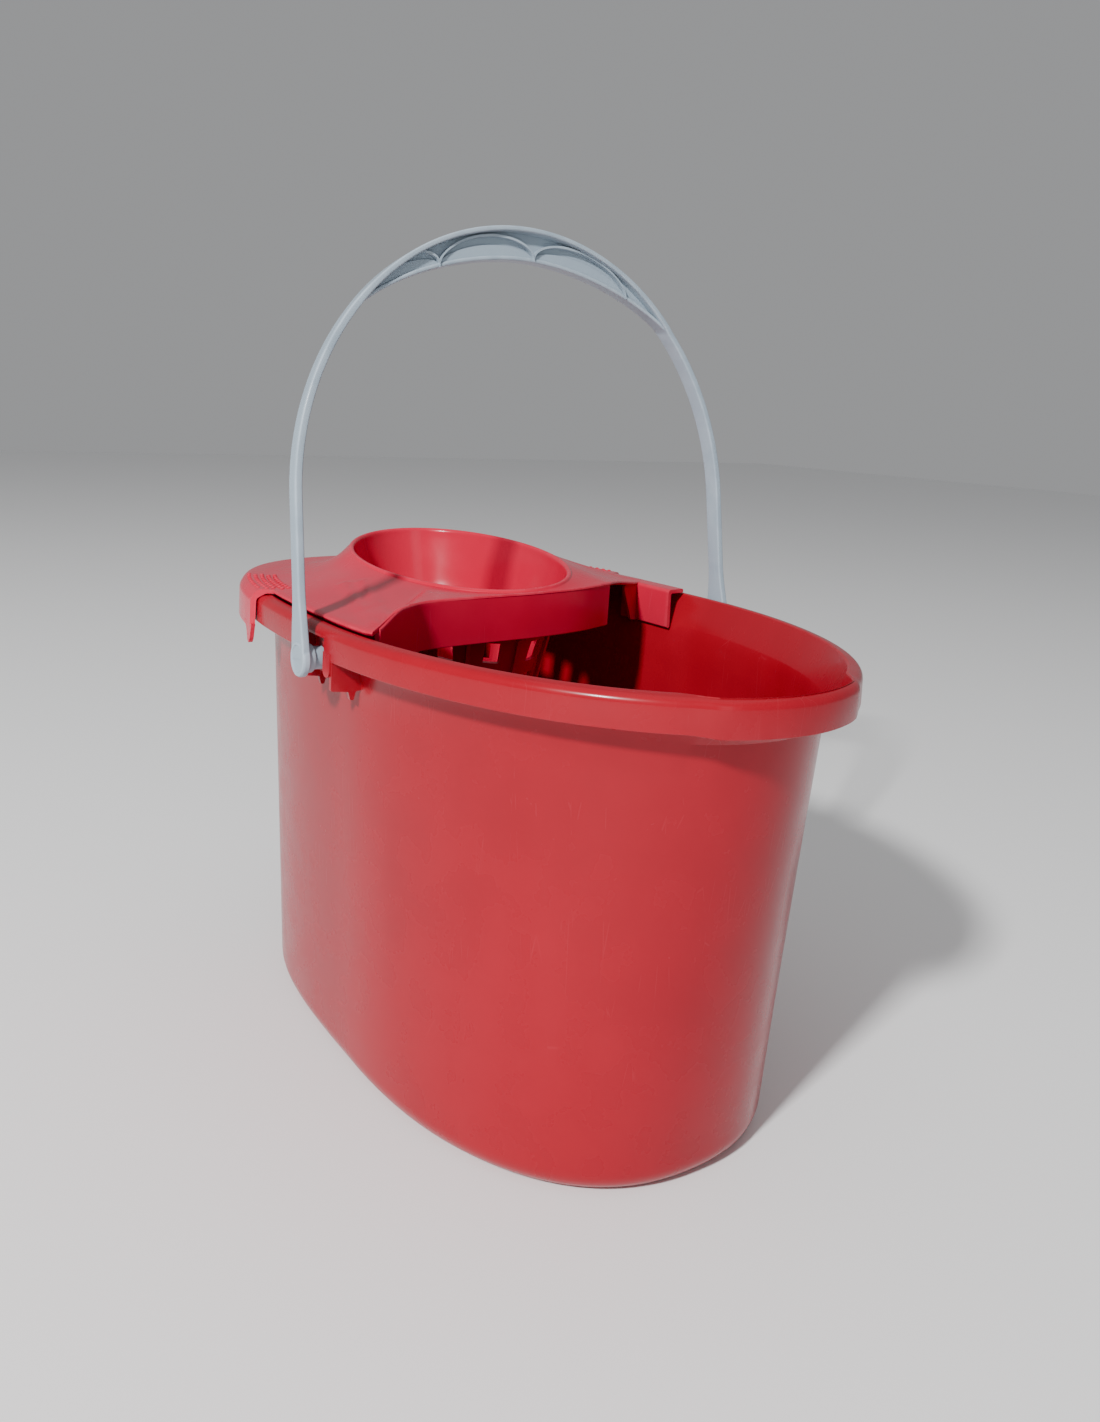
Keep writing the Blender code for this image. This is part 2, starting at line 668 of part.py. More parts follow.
def basket_windows():
    """Boxes that cut rows of windows through the basket's wall and slots through its floor."""
    points = []
    faces = []
    box_faces = [(0, 3, 2, 1), (4, 5, 6, 7), (0, 1, 5, 4), (1, 2, 6, 5), (2, 3, 7, 6), (3, 0, 4, 7)]

    def add_box(middle, along, across, half_along, half_across, low, high):
        first = len(points)
        for height in (low, high):
            for u, v in ((-1, -1), (1, -1), (1, 1), (-1, 1)):
                corner = middle + along * (u * half_along) + across * (v * half_across)
                points.append(Vector((corner.x, corner.y, height)))
        faces.extend(tuple(first + index for index in face) for face in box_faces)

    for index in range(16):
        angle = math.tau * (index + 0.5) / 16
        along = Vector((math.cos(angle), math.sin(angle), 0))
        across = Vector((-along.y, along.x, 0))
        for depth, half_x, half_y in ((28, 70, 46), (48, 65, 43), (68, 61, 40)):
            reach = ellipse_reach(angle, half_x * MM, half_y * MM)
            middle = Vector((MOUTH_X, 0, 0)) + along * reach
            top = RIM_HEIGHT - (depth - 6.5) * MM
            add_box(middle, along, across, 9 * MM, 4.2 * MM, top - 13 * MM, top)
    for x, half in ((-30, 14), (-15, 20), (0, 22), (15, 20), (30, 14)):
        middle = Vector((MOUTH_X + x * MM, 0, 0))
        add_box(middle, Vector((1, 0, 0)), Vector((0, 1, 0)), 3 * MM, half * MM,
                RIM_HEIGHT - BASKET_DEPTH - 2 * MM, RIM_HEIGHT - BASKET_DEPTH + 6 * MM)
    return make_object("basket_windows", points, faces)


def make_wringer(material):
    wringer = wringer_shell()
    for piece in (apron_panel(), hood(), hood_tooth(-1), hood_tooth(1), far_clip(), clip_gusset()):
        combine(wringer, piece, "UNION")
    combine(wringer, basket_windows(), "DIFFERENCE")
    finish(wringer, material)
    return wringer


def main():
    clear_scene()
    make_bucket(plastic("bucket red", (0.60, 0.035, 0.05), 0.30))
    make_wringer(plastic("wringer red", (0.72, 0.03, 0.07), 0.26))
    make_handle(plastic("handle grey", (0.36, 0.42, 0.47), 0.38))


main()
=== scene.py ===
# %% [markdown]
# # An oval mop bucket, cell by cell
#
# The object is made of three plastic mouldings: a red oval bucket, a pinker red wringer that hooks over
# its rear rim, and a grey bail handle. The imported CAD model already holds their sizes, places and
# motion. This lesson rebuilds each moulding as a fine mesh in the same place, gives it a plastic with
# real detail, and lights it. We start by loading that fixed frame.

# %% Load the frame
import json
import math

import bmesh
import bpy
import numpy as np
from mathutils import Matrix, Vector


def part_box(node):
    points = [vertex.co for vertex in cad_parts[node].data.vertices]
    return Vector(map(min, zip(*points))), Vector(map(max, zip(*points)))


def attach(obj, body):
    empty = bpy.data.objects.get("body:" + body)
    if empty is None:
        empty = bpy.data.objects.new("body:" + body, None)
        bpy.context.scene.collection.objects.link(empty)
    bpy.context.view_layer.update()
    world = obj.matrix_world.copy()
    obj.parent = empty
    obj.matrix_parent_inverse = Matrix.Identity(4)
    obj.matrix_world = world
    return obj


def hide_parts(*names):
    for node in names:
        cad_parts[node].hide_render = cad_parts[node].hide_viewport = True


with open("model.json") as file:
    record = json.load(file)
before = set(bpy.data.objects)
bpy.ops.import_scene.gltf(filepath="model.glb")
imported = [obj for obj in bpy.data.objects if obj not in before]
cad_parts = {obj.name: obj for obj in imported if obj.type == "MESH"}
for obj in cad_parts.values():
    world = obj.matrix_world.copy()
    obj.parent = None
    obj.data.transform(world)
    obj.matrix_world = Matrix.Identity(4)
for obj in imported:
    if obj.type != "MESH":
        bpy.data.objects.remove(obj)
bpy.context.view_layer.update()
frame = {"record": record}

# %% [markdown]
# Everything is placed from the frame. The boxes of the three nodes give the outer sizes, and the hinge
# of the handle marks both the pivot and the widest line of the oval. The values below them are the
# mouldings' own details, in metres, which a box can't tell: wall thicknesses, tapers and radii.

# %% Sizes
MM = 0.001
joints = {joint["name"]: joint for joint in frame["record"]["behaviour"]["joints"]}
PIVOT = Vector(joints["handle_hinge"]["pos_m"])
bucket_low, bucket_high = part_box("bucket")
HANDLE_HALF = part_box("handle")[1].y
BASKET_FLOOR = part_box("wringer")[0].z

LIP_BULGE = 2.4 * MM
OVAL_X = PIVOT.x
RIM_HEIGHT = bucket_high.z
RIM_HALF = bucket_high.y
RIM_FRONT = bucket_high.x - OVAL_X - LIP_BULGE
RIM_REAR = OVAL_X - bucket_low.x
RIM_OVERHANG = 16.2 * MM
WALL = 2.4 * MM
FLOOR = 3.0 * MM
BASE_RADIUS = 13.0 * MM
WALL_END = RIM_HEIGHT - 24 * MM
TAPER_FRONT = 31.9 * MM
TAPER_REAR = 17.2 * MM
TAPER_SIDE = 9.4 * MM
LIP_FLARE = 6.0 * MM
LIP_DROP = 1.3 * MM
LIP_HALF = 37 * MM
LIP_FADE = 13 * MM
print("rim:", round(RIM_FRONT / MM, 1), round(RIM_REAR / MM, 1), round(RIM_HALF / MM, 1), "mm")

# %% [markdown]
# The rim and the base of the bucket are ovals with one round end and one squarer end. A superellipse
# draws such an outline with five numbers: a length and a power for each end, and a half width. Asking
# for the radius at an angle, instead of tracing points by hand, keeps every ring of the wall lined up
# with the next, so the mesh has no twist.

# %% The oval
class Oval:
    """Two superellipse halves that share their widest line, the front one towards +X."""

    def __init__(self, front, rear, half, front_power, rear_power):
        self.front = front
        self.rear = rear
        self.half = half
        self.front_power = front_power
        self.rear_power = rear_power

    def inset(self, distance):
        return Oval(self.front - distance, self.rear - distance, self.half - distance,
                    self.front_power, self.rear_power)

    def radius(self, angle):
        """The reach at an angle, which may be one number or an array."""
        ahead = np.cos(angle) > 0
        length = np.where(ahead, self.front, self.rear)
        power = np.where(ahead, self.front_power, self.rear_power)
        along = np.abs(np.cos(angle) / length) ** power
        across = np.abs(np.sin(angle) / self.half) ** power
        return (along + across) ** (-1 / power)

    def point(self, angle, height):
        reach = float(self.radius(angle))
        return Vector((OVAL_X + reach * math.cos(angle), reach * math.sin(angle), height))

    def angle_at(self, x, side):
        """The angle of the outline's point at x, measured from the widest line, on side -1 or +1."""
        length = self.front if x > 0 else self.rear
        power = self.front_power if x > 0 else self.rear_power
        y = self.half * (1 - abs(x / length) ** power) ** (1 / power)
        return math.atan2(side * y, x) % math.tau


RIM_POWERS = (1.97, 2.98)
FOOT_POWERS = (2.3, 3.31)
RIM = Oval(RIM_FRONT, RIM_REAR, RIM_HALF, *RIM_POWERS)
WALL_TOP = RIM.inset(RIM_OVERHANG)
WALL_FOOT = Oval(WALL_TOP.front - TAPER_FRONT, WALL_TOP.rear - TAPER_REAR, WALL_TOP.half - TAPER_SIDE,
                 *FOOT_POWERS)
print("the base is", round((WALL_FOOT.front + WALL_FOOT.rear) / MM), "mm long")

# %% [markdown]
# Injection mouldings are shells drawn by sections, so most shapes here are lofts: rings of points,
# one above the other, joined by quads. A section is a handful of corners, and each corner has the
# radius that a toolmaker would give it. `rounded` turns such corners into arcs.

# %% Helpers for sections and lofts
def smooth_step(value):
    value = np.clip(value, 0.0, 1.0)
    return value * value * (3 - 2 * value)


def blend(low, high, share):
    return low + (high - low) * share


def rounded(corners, steps=6, closed=False):
    """Replaces each corner (u, v, radius) of a line by an arc of that radius."""
    points = []
    count = len(corners)
    for index, (u, v, radius) in enumerate(corners):
        corner = Vector((u, v))
        if radius == 0 or (not closed and index in (0, count - 1)):
            points.append((u, v))
            continue
        back = Vector(corners[index - 1][:2]) - corner
        ahead = Vector(corners[(index + 1) % count][:2]) - corner
        half = back.angle(ahead) / 2
        run = min(radius / math.tan(half), back.length * 0.49, ahead.length * 0.49)
        radius = run * math.tan(half)
        middle = corner + (back.normalized() + ahead.normalized()).normalized() * (radius / math.sin(half))
        start = corner + back.normalized() * run - middle
        end = corner + ahead.normalized() * run - middle
        turn = start.angle_signed(end)
        for step in range(steps + 1):
            share = -turn * step / steps
            arm = Matrix.Rotation(share, 2) @ start
            points.append(tuple(middle + arm))
    return points


def new_piece(name, vertices, faces):
    """A closed mesh object with its normals pointing out."""
    mesh = bpy.data.meshes.new(name)
    mesh.from_pydata(np.asarray(vertices, float).tolist(), [], faces)
    shape = bmesh.new()
    shape.from_mesh(mesh)
    bmesh.ops.recalc_face_normals(shape, faces=shape.faces)
    shape.to_mesh(mesh)
    shape.free()
    piece = bpy.data.objects.new(name, mesh)
    bpy.context.scene.collection.objects.link(piece)
    return piece


def loft(name, rings):
    """A closed solid through rings of equal length, with its first and last ring filled."""
    rings = np.asarray(rings, float)
    levels, size = rings.shape[:2]
    index = np.arange(size)
    after = (index + 1) % size
    faces = []
    for level in range(levels - 1):
        low = level * size
        quads = np.stack([low + index, low + after, low + size + after, low + size + index], 1)
        faces += quads.tolist()
    faces.append(index[::-1].tolist())
    faces.append((index + (levels - 1) * size).tolist())
    return new_piece(name, rings.reshape(-1, 3), faces)


def prism(name, outline, place, start, end):
    """An outline of (u, v) points pulled from start to end; place(u, v, w) gives the point in space."""
    return loft(name, [[place(u, v, w) for u, v in outline] for w in (start, end)])


def smooth(piece, degrees=30):
    piece.data.shade_smooth()
    piece.data.set_sharp_from_angle(angle=math.radians(degrees))
    return piece


def apply_modifiers(piece):
    """The piece's evaluated mesh takes the place of its mesh and modifiers."""
    graph = bpy.context.evaluated_depsgraph_get()
    graph.update()
    made = bpy.data.meshes.new_from_object(piece.evaluated_get(graph))
    old = piece.data
    piece.modifiers.clear()
    piece.data = made
    made.name = piece.name
    bpy.data.meshes.remove(old)
    return piece


def remove(*pieces):
    for piece in pieces:
        bpy.data.objects.remove(piece, do_unlink=True)


def cut(piece, cutter, operation="DIFFERENCE"):
    modifier = piece.modifiers.new(cutter.name, "BOOLEAN")
    modifier.operation = operation
    modifier.solver = "EXACT"
    modifier.object = cutter
    apply_modifiers(piece)
    remove(cutter)


square = rounded([(0, 0, 1), (9, 0, 1), (9, 9, 1), (0, 9, 1)], closed=True)
print("a rounded square has", len(square), "points")

# %% [markdown]
# ## The bucket
#
# The bucket is one loft: across the base, up the tapered wall, out under the rim, down and up the
# deep band that stiffens it, over the crest, and down the inner wall, which flares towards the top. At
# the pour end the rim's inner edge steps outwards by 6 mm to make a lip, which fades out on both sides.

# %% Rings of the bucket
RING_POINTS = 288
ring_angles = np.arange(RING_POINTS) * math.tau / RING_POINTS


def lip_share(reach):
    """1 across the pour lip at the front end, fading to 0 on both sides of it."""
    across = np.abs(reach * np.sin(ring_angles))
    return (1 - smooth_step((across - LIP_HALF) / LIP_FADE)) * (np.cos(ring_angles) > 0)


def place_ring(reach, height):
    heights = np.full(RING_POINTS, height)
    return np.stack([OVAL_X + reach * np.cos(ring_angles), reach * np.sin(ring_angles), heights], 1)


def flare_at(outward, up):
    """How much of the lip's flare a point of the rim's section takes."""
    share = blend(LIP_BULGE / LIP_FLARE, 1.0, smooth_step((13 - outward) / 4))
    return share * smooth_step((up + 26) / 18)


def rim_ring(outward, up):
    reach = WALL_TOP.inset(-outward * MM).radius(ring_angles)
    lip = lip_share(reach)
    reach = reach + LIP_FLARE * flare_at(outward, up) * lip
    ring = place_ring(reach, RIM_HEIGHT + up * MM)
    if outward > 14 and up < -10:
        ring[:, 2] -= LIP_DROP * lip
    return ring


def wall_ring(inset, height):
    share = (height - BASE_RADIUS) / (WALL_END - BASE_RADIUS)
    foot = WALL_FOOT.inset(inset).radius(ring_angles)
    top = WALL_TOP.inset(inset).radius(ring_angles)
    return place_ring(blend(foot, top, share), height)


def base_ring(inset, radius, floor, share):
    """A ring of the rounded edge between the floor (share 0) and the wall (share 1)."""
    turn = share * math.pi / 2
    outline = WALL_FOOT.inset(inset + radius * (1 - math.sin(turn)))
    return place_ring(outline.radius(ring_angles), floor + radius * (1 - math.cos(turn)))


def floor_ring(inset, height):
    return place_ring(WALL_FOOT.inset(inset).radius(ring_angles), height)


# The rim's section, from the top of the outer wall to the top of the inner one: outwards from the
# wall and up from the crest, in millimetres, and the radius of each corner.
RIM_CORNERS = [
    (0.0, -24.0, 0), (2.6, -19.0, 5), (8.4, -6.5, 3), (9.6, -3.0, 0.8), (14.2, -3.0, 1.4),
    (14.9, -15.9, 0.5), (16.2, -15.9, 0.5), (16.2, -1.3, 4.2), (9.0, 0.0, 1.5), (6.0, -6.0, 5),
    (-0.2, -18.5, 6), (-2.4, -24.0, 0),
]
rim_line = rounded(RIM_CORNERS, 7)
print("the rim's section has", len(rim_line), "points")

# %% [markdown]
# The rings now follow the section once round: up the outside of the base and the wall, through the
# rim, and down the inside to the floor. The underside is recessed a little, so that the bucket stands
# on a flat ring and doesn't rock.

# %% Loft the bucket
def bucket_shell():
    wall_heights = np.linspace(BASE_RADIUS, WALL_END, 14)
    inner_radius = BASE_RADIUS - FLOOR
    rings = [floor_ring(inset * MM, 1.2 * MM) for inset in (60, 40, 24.0)]
    rings += [floor_ring(inset * MM, height * MM) for inset, height in ((23.0, 0.2), (22.6, 0.0))]
    rings += [base_ring(0, BASE_RADIUS, 0, share) for share in np.linspace(0, 1, 9)]
    rings += [wall_ring(0, height) for height in wall_heights[1:-1]]
    rings += [rim_ring(outward, up) for outward, up in rim_line]
    rings += [wall_ring(WALL, height) for height in wall_heights[-2:0:-1]]
    rings += [base_ring(WALL, inner_radius, FLOOR, share) for share in np.linspace(1, 0, 8)]
    rings += [floor_ring(inset * MM, FLOOR) for inset in (30, 60)]
    return loft("bucket_shell", rings)


bucket = bucket_shell()
print(bucket.name, len(bucket.data.polygons), "faces")

# %% [markdown]
# The handle turns in two sockets. At each one the band of the rim is cut away, a plate with the pivot
# hole closes the gap behind it, two cheeks and two round ears hold the plate, and a pair of gussets
# stands outside them. The cut is a Boolean, and the small walls run a little way into the bucket's
# own wall, as welded plates would, so nothing has to be trimmed to the curve of the oval. The lines
# below are in millimetres, measured from the middle of the socket and from the crest of the rim.

# %% The pivot sockets
POCKET_HALF = 10.5
SOCKET_FACE = 125.0
SOCKET_BACK = 122.5
HOLE_RADIUS = 5.0
CHEEK_THICK = 1.9
GUSSET_PLACE = (17.0, 19.4)
EAR_PLACE = (127.7, 129.75)
socket_walls = []


def side_place(side, end=1):
    """Turns (along, across, up) in millimetres, measured from the pivot's side, into a point."""
    return lambda along, across, up: (OVAL_X + end * along * MM, side * across * MM,
                                      RIM_HEIGHT + up * MM)


def make_socket(side):
    place = side_place(side)
    plate_corners = [(12.1, -3.6, 0.2), (12.1, -24.6, 4.0), (-12.1, -24.6, 4.0), (-12.1, -3.6, 0.2)]
    plate = prism(f"socket_plate_{side}", rounded(plate_corners, 6, closed=True),
                  lambda u, v, w: place(u, w, v), SOCKET_BACK, SOCKET_FACE)
    pivot_drop = (PIVOT.z - RIM_HEIGHT) / MM
    turns = [math.tau * step / 48 for step in range(48)]
    circle = [(HOLE_RADIUS * math.cos(t), pivot_drop + HOLE_RADIUS * math.sin(t)) for t in turns]
    cut(plate, prism("hole", circle, lambda u, v, w: place(u, w, v), 120.0, 127.0))
    socket_walls.append(plate)
    for end in (-1, 1):
        reach = side_place(side, end)
        cheek = [(122.2, -3.6, 0), (129.0, -3.6, 0), (129.0, -20.4, 2.0), (112.8, -24.0, 0)]
        socket_walls.append(prism(f"socket_cheek_{side}_{end}", rounded(cheek, 5),
                                  lambda u, v, w: reach(w, u, v), POCKET_HALF, POCKET_HALF + CHEEK_THICK))
        ear = [(POCKET_HALF + 0.1, -12.0, 0), (POCKET_HALF + 0.1, -24.2, 3.8), (18.8, -24.2, 5.2),
               (18.8, -12.0, 0)]
        socket_walls.append(prism(f"socket_ear_{side}_{end}", rounded(ear, 8),
                                  lambda u, v, w: reach(u, w, v), *EAR_PLACE))
        gusset = [(122.2, -3.6, 0), (128.8, -3.6, 0), (128.8, -30.2, 0.8), (119.6, -31.4, 0.8),
                  (118.4, -35.6, 0.6), (116.6, -35.6, 0.6), (115.6, -31.4, 0.8), (112.6, -31.0, 0),
                  (112.8, -24.0, 0)]
        socket_walls.append(prism(f"gusset_{side}_{end}", rounded(gusset, 4),
                                  lambda u, v, w: reach(w, u, v), *GUSSET_PLACE))


def pocket_cutter(side):
    """The gap in the band. Its mouth is flared, which leaves the band with rounded corners."""
    half = [(POCKET_HALF, SOCKET_FACE - 0.001), (POCKET_HALF, 127.8), (POCKET_HALF + 0.4, 129.0),
            (POCKET_HALF + 1.3, 129.9), (POCKET_HALF + 3.0, 130.4), (POCKET_HALF + 3.0, 140.0)]
    outline = half + [(-u, v) for u, v in reversed(half)]
    place = side_place(side)
    return prism(f"pocket_{side}", outline, lambda u, v, w: place(u, v, w), -60.0, -5.4)


for side in (-1, 1):
    cut(bucket, pocket_cutter(side))
    make_socket(side)
print("socket walls:", len(socket_walls), "and the bucket has", len(bucket.data.polygons), "faces")

# %% [markdown]
# The small walls overlap the shell, so a Boolean union welds them to it in one pass. A collection is
# its operand, which is quicker than one modifier for each wall.

# %% Weld the bucket
def unite(piece, others):
    """Welds other closed pieces to this one."""
    group = bpy.data.collections.new(piece.name + "_parts")
    for other in others:
        group.objects.link(other)
    modifier = piece.modifiers.new("weld", "BOOLEAN")
    modifier.operation = "UNION"
    modifier.solver = "EXACT"
    modifier.operand_type = "COLLECTION"
    modifier.collection = group
    apply_modifiers(piece)
    remove(*others)
    bpy.data.collections.remove(group)


unite(bucket, socket_walls)
bucket.name = bucket.data.name = "bucket_body"
smooth(bucket)
print(bucket.name, len(bucket.data.polygons), "faces")

# %% [markdown]
# ## The wringer
#
# The wringer is a funnel that stands on the rear of the rim. Seen from the middle of its mouth, every
# direction has the same kind of section: up the inside of the basket, over a round lip, down a deck
# that meets the rim, back under the deck and down the outside of the basket. So the wringer is a loft
# too, with its rings running round the mouth. The deck ends at the rim behind and at a straight apron
# in front.

# %% Sizes of the wringer
MOUTH = Vector((OVAL_X - 89.6 * MM, 0, RIM_HEIGHT + 17.6 * MM))
MOUTH_HALF_X = 86.6 * MM
MOUTH_HALF_Y = 56.4 * MM
MOUTH_FALL_X = 0.076
MOUTH_RISE_Y = 0.06
SHELL = 2.4 * MM
APRON_RISE = 10.0 * MM
APRON_DROP = 16.0 * MM
MOUTH_POINTS = 240
HOOD_START = -90.0 * MM
mouth_angles = [math.tau * index / MOUTH_POINTS for index in range(MOUTH_POINTS)]


def through(points, steps):
    """A smooth line through points, by the Catmull-Rom rule."""
    points = [Vector(point) for point in points]
    padded = [2 * points[0] - points[1]] + points + [2 * points[-1] - points[-2]]
    line = []
    for before, start, end, after in zip(padded, padded[1:], padded[2:], padded[3:]):
        for step in range(steps):
            t = step / steps
            bend = 2 * before - 5 * start + 4 * end - after
            twist = 3 * start - before - 3 * end + after
            line.append(0.5 * (2 * start + (end - before) * t + bend * t ** 2 + twist * t ** 3))
    return line + [points[-1]]


# The apron in plan, in millimetres from the pivots' line: from the near rim to its far corner. The
# deck's edge goes on from there to the far rim.
APRON_LINE = through([(47, -126), (35, -109), (21, -91), (10, -72), (5.5, -36), (2.5, 0), (-4, 34),
                      (-15, 62)], 8)
DECK_LINE = APRON_LINE + through([(-15, 62), (-34, 88), (-58, 126)], 6)[1:]
apron_length = sum((after - before).length for before, after in zip(APRON_LINE, APRON_LINE[1:]))
print("the apron is", round(apron_length), "mm long")

# %% [markdown]
# The deck's outer edge is the nearer of two limits in each direction: the rim, or the line of the
# apron. The fall from the lip to that edge is a power curve: almost straight ahead of the mouth, and
# behind it steep at first and then nearly level. The soft folds that leave the near side of the mouth
# are small ridges added to the fall.

# %% The deck
def mouth_height(x, y):
    """The mouth's edge is tilted: it rises to the rear and to the far side."""
    return MOUTH.z - MOUTH_FALL_X * (x - MOUTH.x) + MOUTH_RISE_Y * y


def ellipse_reach(angle, half_x, half_y):
    return 1 / math.hypot(math.cos(angle) / half_x, math.sin(angle) / half_y)


def reach_to_line(angle, line):
    """How far a ray from the middle of the mouth runs before it meets a line, or None."""
    direction = Vector((math.cos(angle), math.sin(angle)))
    found = []
    for first, second in zip(line, line[1:]):
        start = Vector((OVAL_X + first.x * MM - MOUTH.x, first.y * MM))
        along = (second - first) * MM
        facing = direction.cross(along)
        if abs(facing) > 1e-12:
            reach = start.cross(along) / facing
            if reach > 0 and 0 <= start.cross(direction) / facing <= 1:
                found.append(reach)
    return min(found) if found else None


def reach_to_oval(angle, outline):
    """How far a ray from the middle of the mouth runs before it leaves an oval, by halving."""
    low = 0.0
    high = 0.5
    for _ in range(30):
        middle = (low + high) / 2
        x = MOUTH.x - OVAL_X + middle * math.cos(angle)
        y = middle * math.sin(angle)
        if math.hypot(x, y) < outline.radius(math.atan2(y, x)):
            low = middle
        else:
            high = middle
    return low


def deck_edge(angle):
    """The reach and the height of the deck's edge."""
    on_rim = reach_to_oval(angle, RIM.inset(8.0 * MM))
    on_front = reach_to_line(angle, DECK_LINE)
    flat = RIM_HEIGHT + 0.4 * MM + SHELL
    if on_front is None or on_front > on_rim:
        return on_rim, flat
    y = on_front * math.sin(angle) / MM
    rise = smooth_step((y + 120) / 28) * (1 - smooth_step((y - 58) / 62))
    return on_front, blend(flat, RIM_HEIGHT + APRON_RISE, rise)


# The folds' lines, like the apron's, and their width are in millimetres.
FOLD_HEIGHT = 1.3 * MM
FOLD_WIDTH = 3.2
FOLDS = [
    through([(-66, -85), (-30, -95), (6, -104), (28, -111)], 6),
    through([(-63, -76), (-28, -86), (2, -96), (19, -99)], 6),
]


def fold_height(x, y):
    """The folds in the deck: soft ridges along two lines that leave the near side of the mouth."""
    place = Vector(((x - OVAL_X) / MM, y / MM))
    total = 0.0
    for line in FOLDS:
        away = min((place - point).length for point in line)
        total += FOLD_HEIGHT * math.exp(-(away / FOLD_WIDTH) ** 2)
    return total


def deck_profile(angle, steps):
    """The deck's upper line from the mouth's lip to its edge, as (reach, height)."""
    end, low = deck_edge(angle)
    lip = min(ellipse_reach(angle, MOUTH_HALF_X + 4 * MM, MOUTH_HALF_Y + 4 * MM), end - 1.5 * MM)
    top = mouth_height(MOUTH.x + lip * math.cos(angle), lip * math.sin(angle)) - 1.0 * MM
    steepness = blend(1.25, 3.4, float(smooth_step((0.25 - math.cos(angle)) * 1.1)))
    line = []
    for index in range(steps + 1):
        share = index / steps
        reach = blend(lip, end, share)
        x = MOUTH.x + reach * math.cos(angle)
        height = blend(low, top, (1 - share) ** steepness) + fold_height(x, reach * math.sin(angle))
        line.append((reach, height))
    return line


def offset_below(line, distance):
    """The same line moved to its lower side."""
    moved = []
    for index, (reach, height) in enumerate(line):
        before = line[max(index - 1, 0)]
        after = line[min(index + 1, len(line) - 1)]
        run = Vector((after[0] - before[0], after[1] - before[1])).normalized()
        moved.append((reach + run.y * distance, height - run.x * distance))
    moved[-1] = (line[-1][0], line[-1][1] - distance)
    return moved


print("the deck's edge straight ahead:", [round(value / MM, 1) for value in deck_edge(0.0)])

# %% [markdown]
# Below the mouth hangs the basket, an elliptical wall that narrows with depth. Every direction round
# the mouth gets one closed section with the same number of points, and the loft joins them all.

# %% Loft the funnel
# Half length, half width and depth under the rim, in millimetres.
BASKET_STEPS = through([(78.0, 51.5, 8.0), (68.0, 45.0, 34.0), (59.0, 38.5, 70.0), (52.0, 33.0, 85.0)], 6)


def basket_line(angle, wall):
    """The basket's wall from top to bottom, as (reach, height)."""
    return [(ellipse_reach(angle, half_x * MM + wall, half_y * MM + wall), RIM_HEIGHT - depth * MM)
            for half_x, half_y, depth in BASKET_STEPS]


def wringer_line(angle):
    inside = basket_line(angle, 0)[::-1]
    mouth = ellipse_reach(angle, MOUTH_HALF_X, MOUTH_HALF_Y)
    top = mouth_height(MOUTH.x + mouth * math.cos(angle), mouth * math.sin(angle))
    upper = deck_profile(angle, 18)
    width = upper[0][0] - mouth
    lip = []
    for step in range(9):
        turn = math.pi * (1 - step / 8 * 0.86)
        reach = mouth + width / 2 + width / 2 * math.cos(turn)
        lip.append((reach, top - 2.2 * MM + 2.6 * MM * math.sin(turn)))
    throat = [(mouth - 3.0 * MM, top - 14.0 * MM), (mouth - 1.0 * MM, top - 7.0 * MM)]
    edge = upper[-1]
    rounding = [(edge[0] + 0.9 * MM, edge[1] - 0.4 * MM), (edge[0] + 1.2 * MM, edge[1] - 1.2 * MM)]
    under = [(mouth + 1.2 * MM, top - 9.0 * MM)]
    outside = basket_line(angle, SHELL)
    outside[-1] = (outside[-1][0], BASKET_FLOOR)
    return inside + throat + lip + upper[1:] + rounding + offset_below(upper, SHELL)[::-1] + under + outside


def funnel():
    lines = [wringer_line(angle) for angle in mouth_angles]
    rings = []
    for level in range(len(lines[0])):
        rings.append([(MOUTH.x + line[level][0] * math.cos(angle), line[level][0] * math.sin(angle),
                       line[level][1]) for angle, line in zip(mouth_angles, lines)])
    return loft("funnel", rings)


wringer = funnel()
print(wringer.name, len(wringer.data.polygons), "faces")

# %% [markdown]
# The other walls of the wringer are small lofts welded to the funnel: the apron across the bucket, the
# hood that grips the rear of the rim, a pointed tooth under each end of the hood, and a bracket with a
# stiffening rib that reaches down inside the far rim.

# %% Apron, hood and bracket
def wall_along(name, line, section):
    """A section of (outwards, up) carried along a line in plan; section(point) may vary along it."""
    rings = []
    for index, point in enumerate(line):
        run = (line[min(index + 1, len(line) - 1)] - line[max(index - 1, 0)]).normalized()
        outwards = Vector((run.y, -run.x))
        rings.append([(OVAL_X + (point.x + outwards.x * u) * MM, (point.y + outwards.y * u) * MM,
                       RIM_HEIGHT + v * MM) for u, v in section(point)])
    return loft(name, rings)


def apron_section(point):
    top = blend(SHELL, APRON_RISE, float(smooth_step((point.y + 120) / 28))) / MM - 0.1
    bottom = -APRON_DROP / MM
    return rounded([(0.4, bottom, 0.7), (0.9, top - 3.0, 0), (0.9, top, 1.1), (-2.1, top, 0.9),
                    (-2.1, bottom, 0.7)], 5, closed=True)


def sweep_on_rim(name, section, start, end, steps):
    """A section of (outwards from the rim's outer face, up from the crest) swept round the rim."""
    rings = []
    for index in range(steps + 1):
        angle = blend(start, end, index / steps)
        rings.append([RIM.inset(-outward * MM).point(angle, RIM_HEIGHT + up * MM)
                      for outward, up in section])
    return loft(name, rings)


